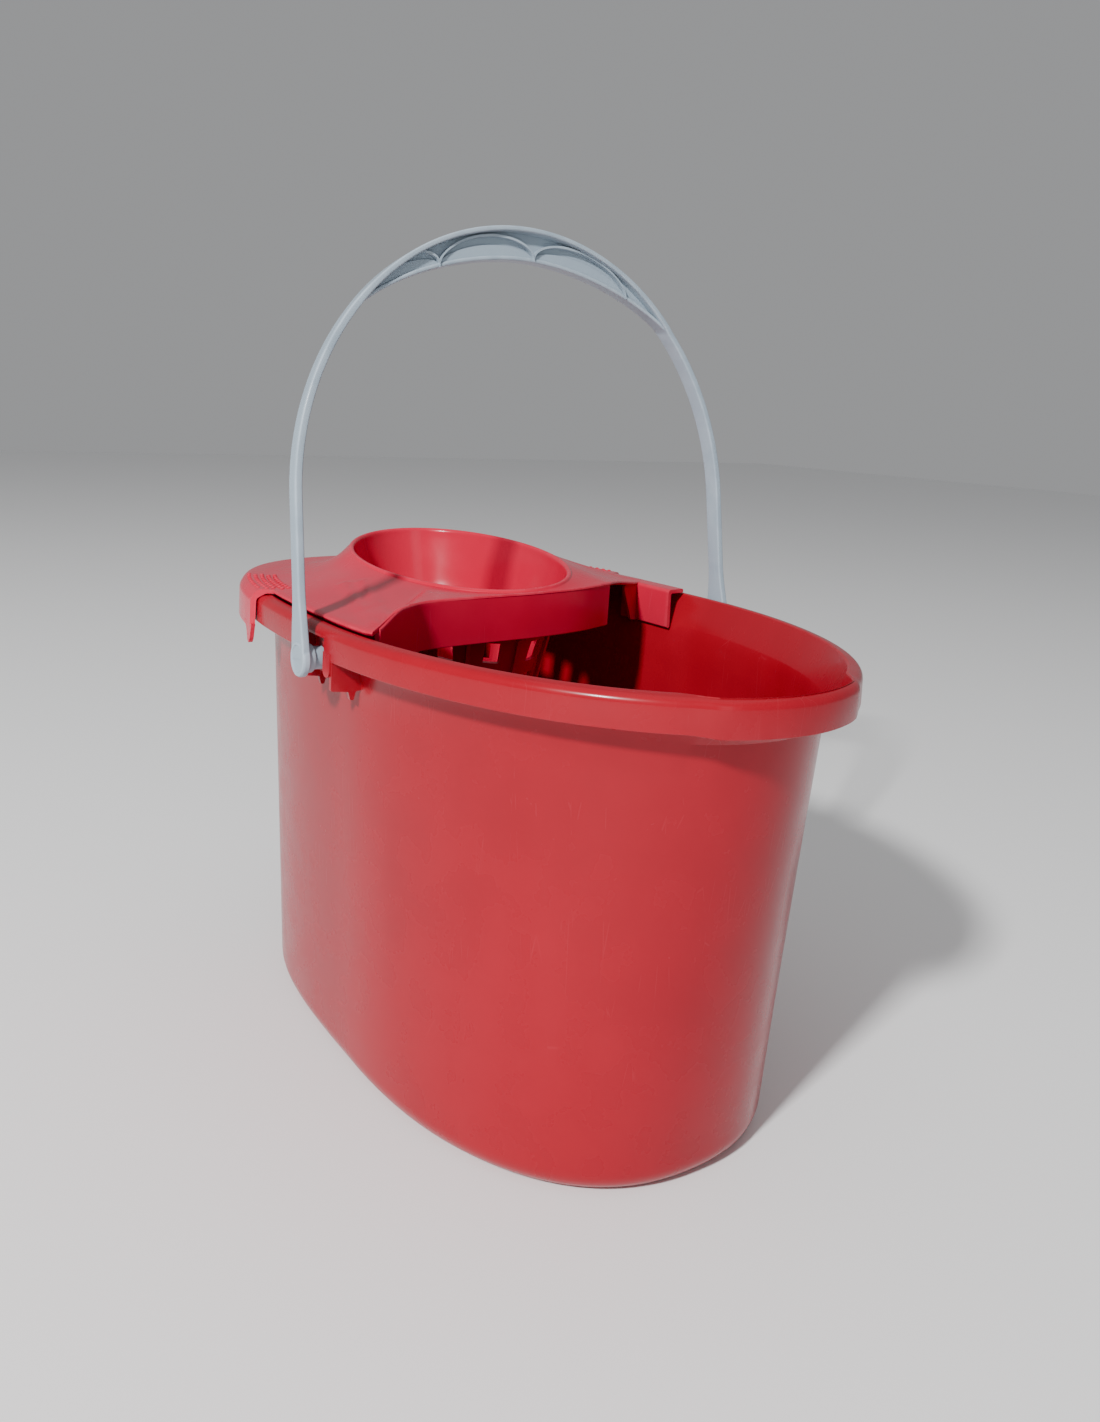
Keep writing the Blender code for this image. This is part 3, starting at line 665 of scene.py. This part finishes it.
# Outwards from the rim's outer face and up from its crest, in millimetres, with each corner's radius.
HOOD_CORNERS = [
    (-9.5, 0.5, 0.6), (-4.0, 0.5, 3.0), (0.8, -2.6, 3.0), (1.3, -20.0, 0.8), (3.7, -20.0, 0.8),
    (3.7, -3.0, 5.5), (0.6, 2.8, 5.5), (-9.5, 2.8, 0.6),
]
CLIP_CORNERS = [
    (-8.0, 0.5, 0.5), (-8.0, 2.9, 1.0), (-21.3, 2.9, 2.2), (-21.3, -21.0, 1.1), (-18.9, -21.0, 1.1),
    (-18.9, 0.5, 1.2),
]


def hood_tooth(side):
    corners = [(-1.0, -17.0, 0), (17.0, -17.0, 0), (11.5, -21.0, 5.0), (8.4, -27.4, 2.0),
               (5.6, -29.0, 1.6), (2.4, -25.6, 4.0)]
    angle = RIM.angle_at(HOOD_START, side)
    base = RIM.point(angle, RIM_HEIGHT)
    along = (RIM.point(angle + side * 0.02, RIM_HEIGHT) - base).normalized()
    outwards = Vector((along.y * side, -along.x * side, 0))
    return prism(f"hood_tooth_{side}", rounded(corners, 5, closed=True),
                 lambda u, v, w: base + along * u * MM + outwards * w * MM + Vector((0, 0, v * MM)),
                 1.4, 3.7)


def clip_rib():
    corners = [(110.6, 1.5, 0), (98.0, 1.5, 2.0), (98.4, -2.0, 2.0), (104.6, -20.9, 1.0),
               (110.6, -20.9, 0)]
    return prism("clip_rib", rounded(corners, 5),
                 lambda u, v, w: (OVAL_X + w * MM, u * MM, RIM_HEIGHT + v * MM), -48.4, -46.0)


wringer_walls = [
    wall_along("apron", APRON_LINE[6:], apron_section),
    sweep_on_rim("hood", rounded(HOOD_CORNERS, 6, closed=True), RIM.angle_at(HOOD_START, 1),
                 RIM.angle_at(HOOD_START, -1), 120),
    sweep_on_rim("far_clip", rounded(CLIP_CORNERS, 5, closed=True), RIM.angle_at(-18 * MM, 1),
                 RIM.angle_at(-72 * MM, 1), 24),
    hood_tooth(-1), hood_tooth(1), clip_rib(),
]
print("walls of the wringer:", [wall.name for wall in wringer_walls])

# %% [markdown]
# ## Expressions for nodes
#
# The basket's windows, its ribs and the dots of the thumb pads repeat, so Geometry Nodes lay them out.
# A tree of maths is easier to read as an expression, so one small class wraps a socket and turns +, -,
# * and / into Math nodes. The materials use the same class later.

# %% A socket that can be calculated with
class Value:
    """A node's output that Python's operators work on."""

    def __init__(self, tree, socket):
        self.tree = tree
        self.socket = socket

    def math(self, operation, *others):
        inputs = dict(enumerate((self, *others)))
        return add_node(self.tree, "ShaderNodeMath", {"operation": operation}, inputs)[0]

    def __add__(self, other):
        return self.math("ADD", other)

    def __sub__(self, other):
        return self.math("SUBTRACT", other)

    def __rsub__(self, other):
        return (self * -1.0) + other

    def __mul__(self, other):
        return self.math("MULTIPLY", other)

    def __truediv__(self, other):
        return self.math("DIVIDE", other)

    def __rtruediv__(self, other):
        return self.math("POWER", -1.0) * other

    __radd__ = __add__
    __rmul__ = __mul__

    def between(self, low, high):
        """0 below low, 1 above high, and smooth between them."""
        return add_node(self.tree, "ShaderNodeMapRange", {"interpolation_type": "SMOOTHSTEP"},
                        {"Value": self, "From Min": low, "From Max": high})[0]


def add_node(tree, kind, settings=None, inputs=None):
    """A node, its settings, and then its inputs, each a number or a Value. It returns the outputs."""
    node = tree.nodes.new(kind)
    for name, value in (settings or {}).items():
        setattr(node, name, value)
    for name, value in (inputs or {}).items():
        socket = node.inputs[name]
        if isinstance(value, Value):
            tree.links.new(value.socket, socket)
        else:
            socket.default_value = value
    return [Value(tree, socket) for socket in node.outputs if socket.enabled]


def geometry_tree(name, sizes):
    """An empty Geometry Nodes tree with one named input for each size, and the Values of those inputs."""
    tree = bpy.data.node_groups.new(name, "GeometryNodeTree")
    tree.interface.new_socket("Geometry", in_out="INPUT", socket_type="NodeSocketGeometry")
    tree.interface.new_socket("Geometry", in_out="OUTPUT", socket_type="NodeSocketGeometry")
    for size in sizes:
        tree.interface.new_socket(size, in_out="INPUT", socket_type="NodeSocketFloat")
    outputs = tree.nodes.new("NodeGroupInput").outputs
    return tree, {size: Value(tree, outputs[size]) for size in sizes}


def close_tree(tree, instances, material):
    """Ends a tree: real geometry with its material."""
    real = add_node(tree, "GeometryNodeRealizeInstances", None, {"Geometry": instances})[0]
    finish = add_node(tree, "GeometryNodeSetMaterial", None, {"Geometry": real, "Material": material})[0]
    add_node(tree, "NodeGroupOutput", None, {"Geometry": finish})


def grow(name, tree, sizes):
    """The plain mesh that a tree makes from these sizes."""
    piece = bpy.data.objects.new(name, bpy.data.meshes.new(name))
    bpy.context.scene.collection.objects.link(piece)
    modifier = piece.modifiers.new(name, "NODES")
    modifier.node_group = tree
    for item in tree.interface.items_tree:
        if item.in_out == "INPUT" and item.name in sizes:
            modifier[item.identifier] = float(sizes[item.name])
    apply_modifiers(piece)
    print(name, "has", len(piece.data.polygons), "faces")
    return piece


wringer_red = bpy.data.materials.new("wringer_red")
print("the trees end in", wringer_red.name)

# %% [markdown]
# One tree lays boxes in rows around the tapering basket. With short wide boxes it makes the cutters of
# the windows, and with tall thin ones it makes the ribs between them.

# %% Windows and ribs of the basket
BASKET_TAPER_X = 0.33
BASKET_TAPER_Y = 0.235
BOX_SIZES = ["Count", "Rows", "Offset", "Top", "Pitch", "Half X", "Half Y", "Tilt", "Deep", "Wide", "Tall"]


def boxes_tree():
    tree, size = geometry_tree("boxes round the basket", BOX_SIZES)
    points = add_node(tree, "GeometryNodePoints", None, {"Count": size["Count"] * size["Rows"]})[0]
    index = add_node(tree, "GeometryNodeInputIndex")[0]
    row = (index / size["Count"]).math("FLOOR")
    angle = (index - row * size["Count"] + size["Offset"]) / size["Count"] * math.tau
    depth = size["Top"] + row * size["Pitch"]
    reach_x = angle.math("COSINE") / (size["Half X"] - depth * BASKET_TAPER_X)
    reach_y = angle.math("SINE") / (size["Half Y"] - depth * BASKET_TAPER_Y)
    reach = 1 / (reach_x * reach_x + reach_y * reach_y).math("SQRT")
    place = add_node(tree, "ShaderNodeCombineXYZ", None, {
        "X": reach * angle.math("COSINE") + MOUTH.x,
        "Y": reach * angle.math("SINE"),
        "Z": RIM_HEIGHT - depth})[0]
    placed = add_node(tree, "GeometryNodeSetPosition", None, {0: points, "Position": place})[0]
    box = add_node(tree, "ShaderNodeCombineXYZ", None, {
        "X": size["Deep"], "Y": size["Wide"], "Z": size["Tall"]})[0]
    cube = add_node(tree, "GeometryNodeMeshCube", None, {"Size": box})[0]
    turn = add_node(tree, "ShaderNodeCombineXYZ", None, {"Y": size["Tilt"], "Z": angle})[0]
    turned = add_node(tree, "FunctionNodeEulerToRotation", None, {0: turn})[0]
    boxes = add_node(tree, "GeometryNodeInstanceOnPoints", None, {
        "Points": placed, "Instance": cube, "Rotation": turned})[0]
    close_tree(tree, boxes, wringer_red)
    return tree


WINDOW_COUNT = 16
basket_boxes = boxes_tree()
windows = grow("windows", basket_boxes, {
    "Count": WINDOW_COUNT, "Rows": 3, "Offset": 0.5, "Top": 28 * MM, "Pitch": 20 * MM, "Half X": 80 * MM,
    "Half Y": 53 * MM, "Tilt": 0.27, "Deep": 18 * MM, "Wide": 9 * MM, "Tall": 13 * MM})
ribs = grow("ribs", basket_boxes, {
    "Count": WINDOW_COUNT, "Rows": 1, "Offset": 0.0, "Top": 52 * MM, "Pitch": 0, "Half X": 83 * MM,
    "Half Y": 56 * MM, "Tilt": 0.27, "Deep": 4 * MM, "Wide": 2.2 * MM, "Tall": 66 * MM})

# %% [markdown]
# The basket's floor has five slots that let the water out. They are cut together with the windows,
# after the walls and the ribs have been welded on, so that no rib closes a window.

# %% Weld and cut the wringer
def floor_slot(x, half):
    corners = [(x - 3, -half, 2), (x + 3, -half, 2), (x + 3, half, 2), (x - 3, half, 2)]
    return prism(f"slot_{x}", rounded(corners, 4, closed=True),
                 lambda u, v, w: (MOUTH.x + u * MM, v * MM, w), BASKET_FLOOR - 2 * MM, BASKET_FLOOR + 6 * MM)


slots = [floor_slot(x, half) for x, half in ((-30, 14), (-15, 20), (0, 22), (15, 20), (30, 14))]
unite(wringer, wringer_walls + [ribs])
unite(windows, slots)
cut(wringer, windows)
wringer.name = wringer.data.name = "wringer_body"
print("the wringer has", len(wringer.data.polygons), "faces")

# %% [markdown]
# The rear corners of the hood carry thumb pads: a field of low dots that stops a wet thumb from
# slipping. A grid of points follows the rim, and every second row is shifted by half a step. Each dot
# is a small flattened ball sunk in the surface.

# %% Thumb pads
DOT_SIZES = ["Rows", "Per Row", "Start", "Step", "Spread", "Radius", "Lift", "Climb"]
DOT_MARGIN = 1.9 * MM
DOT_STEP = 0.031
PAD_X = -122 * MM


def dots_tree():
    tree, size = geometry_tree("dots on the hood", DOT_SIZES)
    points = add_node(tree, "GeometryNodePoints", None, {"Count": size["Rows"] * size["Per Row"]})[0]
    index = add_node(tree, "GeometryNodeInputIndex")[0]
    row = (index / size["Per Row"]).math("FLOOR")
    column = index - row * size["Per Row"] + row.math("MODULO", 2.0) * 0.5
    angle = size["Start"] + column * size["Step"]
    along = (angle.math("COSINE").math("ABSOLUTE") / RIM_REAR).math("POWER", RIM.rear_power)
    across = (angle.math("SINE").math("ABSOLUTE") / RIM_HALF).math("POWER", RIM.rear_power)
    reach = (along + across).math("POWER", -1 / RIM.rear_power) - size["Spread"] * row - DOT_MARGIN
    place = add_node(tree, "ShaderNodeCombineXYZ", None, {
        "X": reach * angle.math("COSINE") + OVAL_X,
        "Y": reach * angle.math("SINE"),
        "Z": size["Lift"] + row * size["Climb"]})[0]
    placed = add_node(tree, "GeometryNodeSetPosition", None, {0: points, "Position": place})[0]
    ball = add_node(tree, "GeometryNodeMeshIcoSphere", None, {
        "Radius": size["Radius"], "Subdivisions": 2})[0]
    flat = add_node(tree, "ShaderNodeCombineXYZ", None, {"X": 1.0, "Y": 1.0, "Z": 0.55})[0]
    dots = add_node(tree, "GeometryNodeInstanceOnPoints", None, {
        "Points": placed, "Instance": ball, "Scale": flat})[0]
    close_tree(tree, dots, wringer_red)
    return tree


hood_dots = dots_tree()
pads = []
for name, side in (("thumb_pad_near", -1), ("thumb_pad_far", 1)):
    middle = RIM.angle_at(PAD_X, side)
    pads.append(grow(name, hood_dots, {
        "Rows": 5, "Per Row": 9, "Start": middle - 4 * DOT_STEP, "Step": DOT_STEP, "Spread": 4.4 * MM,
        "Radius": 1.3 * MM, "Lift": RIM_HEIGHT + 2.6 * MM, "Climb": 0.2 * MM}))

# %% [markdown]
# ## The handle
#
# The bail is a flat strap whose outer face carries a bead along its front edge. In the middle it
# widens into the top of the grip, and at each end into an eye. It is drawn upright about its own
# pivot, and leaned back at the end.

# %% The strap
HANDLE_LEG = 80.5 * MM
HANDLE_RISE = 228.9 * MM
HANDLE_LEAN = math.radians(-8.15)
STRAP_WIDTH = 10.0 * MM
STRAP_THICK = 4.0 * MM
GRIP_HALF = 104.0 * MM
CROWN_THICK = 2.8 * MM
GRIP_DEPTH = 18.4 * MM
GRIP_WIDTH = 15.0 * MM
GRIP_FOOT = 7.0 * MM
GRIP_ARCHES = ((-82, 28), (-24, 30), (38, 32))
EYE_RADIUS = 9.0 * MM


def arch_point(turn, depth):
    """A point of the arch, depth inwards from its outer face. turn runs from 0 at +Y to pi at -Y."""
    return Vector((0, (HANDLE_HALF - depth) * math.cos(turn),
                   HANDLE_LEG + (HANDLE_RISE - HANDLE_LEG - depth) * math.sin(turn)))


def grip_share(y):
    """1 at the crown of the grip, 0 where it runs out into the straps."""
    return max(0.0, 1 - (abs(y) / GRIP_HALF) ** 2.6)


def strap_ring(outer, inward, half, thick=STRAP_THICK):
    """The strap's section: a flat face, a bead along its front edge, and round corners."""
    h = half / MM
    t = thick / MM
    corners = [(-h, 0.5, 1.0), (h - 3.0, 0.6, 1.2), (h - 2.2, 0.0, 0.5), (h, 0.1, 0.9), (h, t, 0.9),
               (-h, t, 0.9)]
    line = rounded(corners, 4, closed=True)
    return [outer + inward * (v * MM) + Vector((u * MM, 0, 0)) for u, v in line]


def leg_rings(side):
    rings = []
    for step in range(24):
        height = HANDLE_LEG * step / 24
        widen = 1 - float(smooth_step(height / (36 * MM)))
        half = STRAP_WIDTH / 2 + widen * (EYE_RADIUS - STRAP_WIDTH / 2 - 0.7 * MM)
        rings.append(strap_ring(Vector((0, side * HANDLE_HALF, height)), Vector((0, -side, 0)), half))
    return rings


def strap():
    rings = leg_rings(1)
    for index in range(161):
        turn = math.pi * index / 160
        outer = arch_point(turn, 0)
        share = math.sqrt(grip_share(outer.y))
        half = blend(STRAP_WIDTH, GRIP_WIDTH, share) / 2
        inward = (arch_point(turn, STRAP_THICK) - outer).normalized()
        rings.append(strap_ring(outer, inward, half, blend(STRAP_THICK, CROWN_THICK, share)))
    return loft("handle_body", rings + leg_rings(-1)[::-1])


handle = strap()
print(handle.name, len(handle.data.polygons), "faces")

# %% [markdown]
# Under the strap the grip is open at both sides, which saves plastic: a thin web runs down the middle
# to a narrow foot, and three arches, each with a low panel under it, stiffen the web. All their
# heights come from the curve of the strap, so they follow it.

# %% The grip
def arch_height(y):
    return HANDLE_LEG + (HANDLE_RISE - HANDLE_LEG) * math.sqrt(1 - (y / HANDLE_HALF) ** 2)


def grip_inner(y):
    """The height of the grip's lower face."""
    return arch_height(y) - STRAP_THICK - (GRIP_DEPTH - STRAP_THICK) * grip_share(y)


def grip_web():
    places = np.linspace(-GRIP_HALF, GRIP_HALF, 81)
    outline = [(y, arch_height(y) - STRAP_THICK * 0.4) for y in places]
    outline += [(y, grip_inner(y) + 0.5 * MM) for y in places[::-1]]
    return prism("grip_web", outline, lambda u, v, w: (w, u, v), -1.2 * MM, 1.2 * MM)


def grip_flange():
    rings = []
    for y in np.linspace(-GRIP_HALF * 0.985, GRIP_HALF * 0.985, 81):
        half = blend(STRAP_WIDTH, GRIP_FOOT, math.sqrt(grip_share(y))) / 2 / MM
        low = grip_inner(y) / MM
        corners = [(half, low, 1.1), (half, low + 2.6, 1.1), (-half, low + 2.6, 1.1), (-half, low, 1.1)]
        rings.append([(u * MM, y, v * MM) for u, v in rounded(corners, 5, closed=True)])
    return loft("grip_flange", rings)


def grip_rib(middle, half_span, rise):
    """An arched rib that stands on the grip's foot."""
    half = GRIP_FOOT / 2 + 0.9 * MM
    rings = []
    for index in range(33):
        turn = math.pi * index / 32
        y = middle + half_span * math.cos(turn)
        top = grip_inner(y) + 1.6 * MM + rise * math.sin(turn) ** 0.9
        top = min(top, arch_height(y) - STRAP_THICK * 0.5)
        corners = [(half, top), (-half, top), (-half, top - 1.3 * MM), (half, top - 1.3 * MM)]
        rings.append([(u, y, v) for u, v in corners])
    return loft(f"grip_rib_{round(middle / MM)}", rings)


def scallop_plate(middle, half_span, rise):
    """The low panel under an arched rib, which stands out further than the web."""
    places = [middle + half_span * math.cos(math.pi * index / 32) for index in range(33)]
    outline = []
    for index, y in enumerate(places):
        top = grip_inner(y) + 1.0 * MM + rise * math.sin(math.pi * index / 32) ** 0.9
        outline.append((y, min(top, arch_height(y) - STRAP_THICK * 0.6)))
    outline += [(y, grip_inner(y) + 0.6 * MM) for y in places[-2:0:-1]]
    return prism(f"grip_panel_{round(middle / MM)}", outline, lambda u, v, w: (w, u, v), -2.6 * MM, 2.6 * MM)


grip_parts = [grip_web(), grip_flange()]
for middle, half_span in GRIP_ARCHES:
    grip_parts.append(grip_rib(middle * MM, half_span * MM, 12.5 * MM))
    grip_parts.append(scallop_plate(middle * MM, half_span * MM, 7.5 * MM))
print("grip:", [part.name for part in grip_parts])

# %% [markdown]
# Each end of the strap is a round eye. From it a boss and a stem reach in to the socket's plate, and a
# peg with a tapered head goes through the hole and snaps in behind it. All of this is round about the
# pivot, so one profile is turned for each side, given as position across and radius in millimetres.

# %% The eyes and pegs
EYE = [(138.2, 6.0), (138.3, 6.5), (138.9, 7.1), (139.0, 7.6), (138.8, 8.3), (138.2, 8.8), (137.4, 9.0),
       (135.6, 9.0), (135.1, 8.7), (135.0, 7.5), (134.7, 7.2)]
BOSS = [(132.0, 7.2), (131.6, 7.0), (131.5, 6.1), (131.2, 5.8), (126.0, 5.8), (125.6, 5.5)]
PEG = [(125.6, 4.5), (122.0, 4.5), (122.0, 5.6), (121.4, 5.6), (119.9, 3.9)]


def handle_foot(side):
    turns = [math.tau * index / 64 for index in range(64)]
    rings = []
    for position, radius in EYE + BOSS + PEG:
        across = side * (position * MM)
        rings.append([(radius * math.cos(t) * MM, across, radius * math.sin(t) * MM) for t in turns])
    return loft(f"handle_foot_{side}", rings)


unite(handle, grip_parts + [handle_foot(-1), handle_foot(1)])
handle.data.transform(Matrix.Translation(PIVOT) @ Matrix.Rotation(HANDLE_LEAN, 4, "Y"))
print("the handle has", len(handle.data.polygons), "faces")

# %% [markdown]
# Booleans leave long thin triangles, so each body is shaded smooth with its real edges kept sharp. Then
# every point gets a number that says how much its edge sticks out: the materials wear such edges.

# %% Shade the bodies and mark their edges
WEAR_SPAN = 2 * MM
WEAR_GAIN = 1.6
WEAR_START = 0.05


def mark_edges(piece):
    """The attribute "worn": 1 on edges that stick out, 0 on flats and in corners."""
    mesh = piece.data
    count = len(mesh.vertices)
    places = np.empty(count * 3)
    mesh.vertices.foreach_get("co", places)
    places = places.reshape(-1, 3)
    normals = np.empty(count * 3)
    mesh.vertices.foreach_get("normal", normals)
    normals = normals.reshape(-1, 3)
    edges = np.empty(len(mesh.edges) * 2, int)
    mesh.edges.foreach_get("vertices", edges)
    first, second = edges.reshape(-1, 2).T
    along = places[second] - places[first]
    length = np.linalg.norm(along, axis=1) + 1e-9
    bend = ((normals[second] - normals[first]) * along).sum(1) / length
    near = np.clip(length / WEAR_SPAN, 0.2, 1)
    total = np.zeros(count)
    weight = np.zeros(count)
    for end in (first, second):
        np.add.at(total, end, bend / near)
        np.add.at(weight, end, 1.0)
    worn = np.clip(total / np.maximum(weight, 1) * WEAR_GAIN - WEAR_START, 0, 1)
    layer = mesh.attributes.new("worn", "FLOAT", "POINT")
    layer.data.foreach_set("value", worn.astype(np.float32))
    return float(worn.mean())


pieces = [bucket, wringer, handle, *pads]
for piece in pieces:
    smooth(piece)
    print(piece.name, "mean wear", round(mark_edges(piece), 3))

# %% [markdown]
# ## Materials
#
# All three mouldings are glossy polypropylene, coloured right through. What makes such a plastic look
# real is what use has done to it: the colour drifts a little, the gloss is uneven, fine scratches run
# in all directions, scuffs are paler and duller than the rest, and edges are rubbed. One function
# builds this finish, and each body has its own colours and its own amount of wear.

# %% The plastic
def mapped(tree, place, stretch, turn):
    return add_node(tree, "ShaderNodeMapping", None, {
        "Vector": place, "Scale": stretch, "Rotation": turn})[0]


def pattern(tree, place, scale, detail=2.0, stretch=(1, 1, 1), turn=(0, 0, 0)):
    """A noise in object space, stretched along one direction where the wear has one."""
    return add_node(tree, "ShaderNodeTexNoise", None, {
        "Vector": mapped(tree, place, stretch, turn), "Scale": scale, "Detail": detail})[0]


def mix_colours(tree, share, low, high):
    """Blends two colours. The colour mix's own sockets are numbers 0, 6 and 7."""
    return add_node(tree, "ShaderNodeMix", {"data_type": "RGBA"}, {0: share, 6: low, 7: high})[0]


def scratches(tree, place, scale, turn, amount):
    """Thin straight lines: the walls between long stretched cells, kept only in some patches."""
    wall = add_node(tree, "ShaderNodeTexVoronoi", {"feature": "DISTANCE_TO_EDGE"}, {
        "Vector": mapped(tree, place, (1, 1, 0.06), turn), "Scale": scale})[0]
    thin = 1 - wall.between(0.0, 0.014)
    where = pattern(tree, place, scale * 0.25, 3.0, (1, 1, 1), turn)
    where = where.between(0.60 - amount, 0.70 - amount)
    return thin * where


def moulded_plastic(material, colour, deep, pale, roughness, wear):
    material.use_nodes = True
    tree = material.node_tree
    shader = tree.nodes["Principled BSDF"]
    place = add_node(tree, "ShaderNodeTexCoord")[3]
    worn = add_node(tree, "ShaderNodeAttribute", {"attribute_name": "worn"})[2]

    drift = pattern(tree, place, 7.0, 3.0).between(0.3, 0.7)
    mottle = pattern(tree, place, 55.0, 4.0).between(0.35, 0.65)
    flow = pattern(tree, place, 16.0, 2.0, (1, 1, 0.18)).between(0.35, 0.65)
    scuff = pattern(tree, place, 34.0, 5.0, (1, 1, 0.3), (0.5, 0.2, 0.4)).between(0.62, 0.78)
    scuff = scuff * pattern(tree, place, 9.0, 2.0).between(0.5, 0.68) * wear
    fine = scratches(tree, place, 150.0, (0.3, 1.2, 0.2), 0.01) * wear
    long = scratches(tree, place, 70.0, (1.45, 0.2, 0.9), -0.02) * wear
    edge = worn.between(0.25, 0.95) * pattern(tree, place, 90.0, 4.0).between(0.3, 0.62) * wear

    base = mix_colours(tree, drift * 0.75 + mottle * 0.15, (*deep, 1), (*colour, 1))
    rubbed = scuff * 0.12 + fine * 0.18 + long * 0.16 + edge * 0.24 + flow * 0.04
    base = mix_colours(tree, rubbed.math("MINIMUM", 0.6), base, (*pale, 1))
    tree.links.new(base.socket, shader.inputs["Base Color"])

    dull = roughness + drift * 0.05 + mottle * 0.05
    dull = dull + scuff * 0.22 + fine * 0.2 + long * 0.2 + edge * 0.12
    tree.links.new(dull.socket, shader.inputs["Roughness"])

    peel = pattern(tree, place, 520.0, 2.0)
    wave = pattern(tree, place, 22.0, 1.0, (1, 1, 0.4))
    height = peel * 0.010 + wave * 0.30 - fine * 0.02 - long * 0.03 - scuff * 0.02
    bump = add_node(tree, "ShaderNodeBump", None, {
        "Height": height, "Strength": 0.35, "Distance": 0.0012})[0]
    tree.links.new(bump.socket, shader.inputs["Normal"])
    shader.inputs["IOR"].default_value = 1.49
    shader.inputs["Specular IOR Level"].default_value = 0.20
    shader.inputs["Coat Weight"].default_value = 0.12
    shader.inputs["Coat Roughness"].default_value = 0.12
    print(material.name, "has", len(tree.nodes), "nodes")


bucket_red = bpy.data.materials.new("bucket_red")
handle_grey = bpy.data.materials.new("handle_grey")
moulded_plastic(bucket_red, colour=(0.33, 0.002, 0.013), deep=(0.27, 0.0015, 0.010),
                pale=(0.52, 0.05, 0.07), roughness=0.22, wear=0.9)
moulded_plastic(wringer_red, colour=(0.58, 0.004, 0.040), deep=(0.49, 0.003, 0.030),
                pale=(0.76, 0.09, 0.14), roughness=0.18, wear=0.7)
moulded_plastic(handle_grey, colour=(0.30, 0.37, 0.43), deep=(0.26, 0.32, 0.38),
                pale=(0.56, 0.62, 0.67), roughness=0.30, wear=0.8)

# %% [markdown]
# Each finished mesh takes the place of one CAD node and moves with that node's body. The dots of the
# thumb pads ride on the wringer and share its plastic, because they belong to the same moulding.

# %% Give each body its plastic and its place in the frame
def dress(piece, material, body):
    piece.data.materials.clear()
    piece.data.materials.append(material)
    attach(piece, body)


dress(bucket, bucket_red, "bucket")
dress(wringer, wringer_red, "wringer")
dress(handle, handle_grey, "handle")
for pad in pads:
    dress(pad, wringer_red, "wringer")
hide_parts("bucket")
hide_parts("wringer")
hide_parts("handle")
print("dressed:", [piece.name for piece in pieces])

# %% [markdown]
# ## Studio
#
# The floor is pale and plain. The key light stands in front, to the left, at about 35 degrees. It is
# small and far away, so shadows have a clear shape with a narrow soft edge. A wide panel above and a
# weaker one on the right fill the dark side and give the plastic something to reflect.

# %% Floor, lights and camera
FLOOR_HALF = 6.0


def add_floor():
    mesh = bpy.data.meshes.new("floor")
    corners = [(-1, -1), (1, -1), (1, 1), (-1, 1)]
    mesh.from_pydata([(FLOOR_HALF * x, FLOOR_HALF * y, 0) for x, y in corners], [], [(0, 1, 2, 3)])
    floor = bpy.data.objects.new("floor", mesh)
    bpy.context.scene.collection.objects.link(floor)
    material = bpy.data.materials.new("pale_floor")
    material.use_nodes = True
    shader = material.node_tree.nodes["Principled BSDF"]
    shader.inputs["Base Color"].default_value = (0.86, 0.86, 0.86, 1)
    shader.inputs["Roughness"].default_value = 0.7
    mesh.materials.append(material)


def add_panel(name, place, aim, size, power):
    light = bpy.data.lights.new(name, "AREA")
    light.shape = "RECTANGLE"
    light.size, light.size_y = size
    light.energy = power
    panel = bpy.data.objects.new(name, light)
    panel.location = place
    panel.rotation_euler = (Vector(aim) - Vector(place)).to_track_quat("-Z", "Y").to_euler()
    bpy.context.scene.collection.objects.link(panel)


def add_world(colour, strength):
    world = bpy.data.worlds.new("studio")
    bpy.context.scene.world = world
    world.use_nodes = True
    background = world.node_tree.nodes["Background"]
    background.inputs["Color"].default_value = (*colour, 1)
    background.inputs["Strength"].default_value = strength


MIDDLE = (0, 0, 0.2)
KEY_WAY = Vector((0.40, -0.75, 0.60)).normalized()
KEY_AWAY = 3.0
add_floor()
add_panel("key", Vector(MIDDLE) + KEY_WAY * KEY_AWAY, MIDDLE, (0.24, 0.24), 140)
add_panel("top", (0.1, 0.1, 2.4), MIDDLE, (2.2, 2.2), 8)
add_panel("side", (2.2, -0.7, 0.9), MIDDLE, (0.7, 1.6), 5)
add_world((0.97, 0.98, 1.0), 0.34)

# The camera's own axes: to the right, up, and back towards the viewer.
RIGHT = Vector((0.547, 0.8358, 0.0471)).normalized()
UP = Vector((-0.1193, 0.0221, 0.9926))
BACK = RIGHT.cross(UP).normalized()
UP = BACK.cross(RIGHT)
lens = bpy.data.cameras.new("camera")
lens.lens = 29.52
lens.shift_x = 0.0085
lens.shift_y = -0.122
camera = bpy.data.objects.new("camera", lens)
turn = Matrix((RIGHT, UP, BACK)).transposed().to_4x4()
camera.matrix_world = Matrix.Translation((0.5366, -0.3532, 0.3556)) @ turn
bpy.context.scene.collection.objects.link(camera)
bpy.context.scene.camera = camera
print("the camera looks along", [round(value, 2) for value in -BACK])
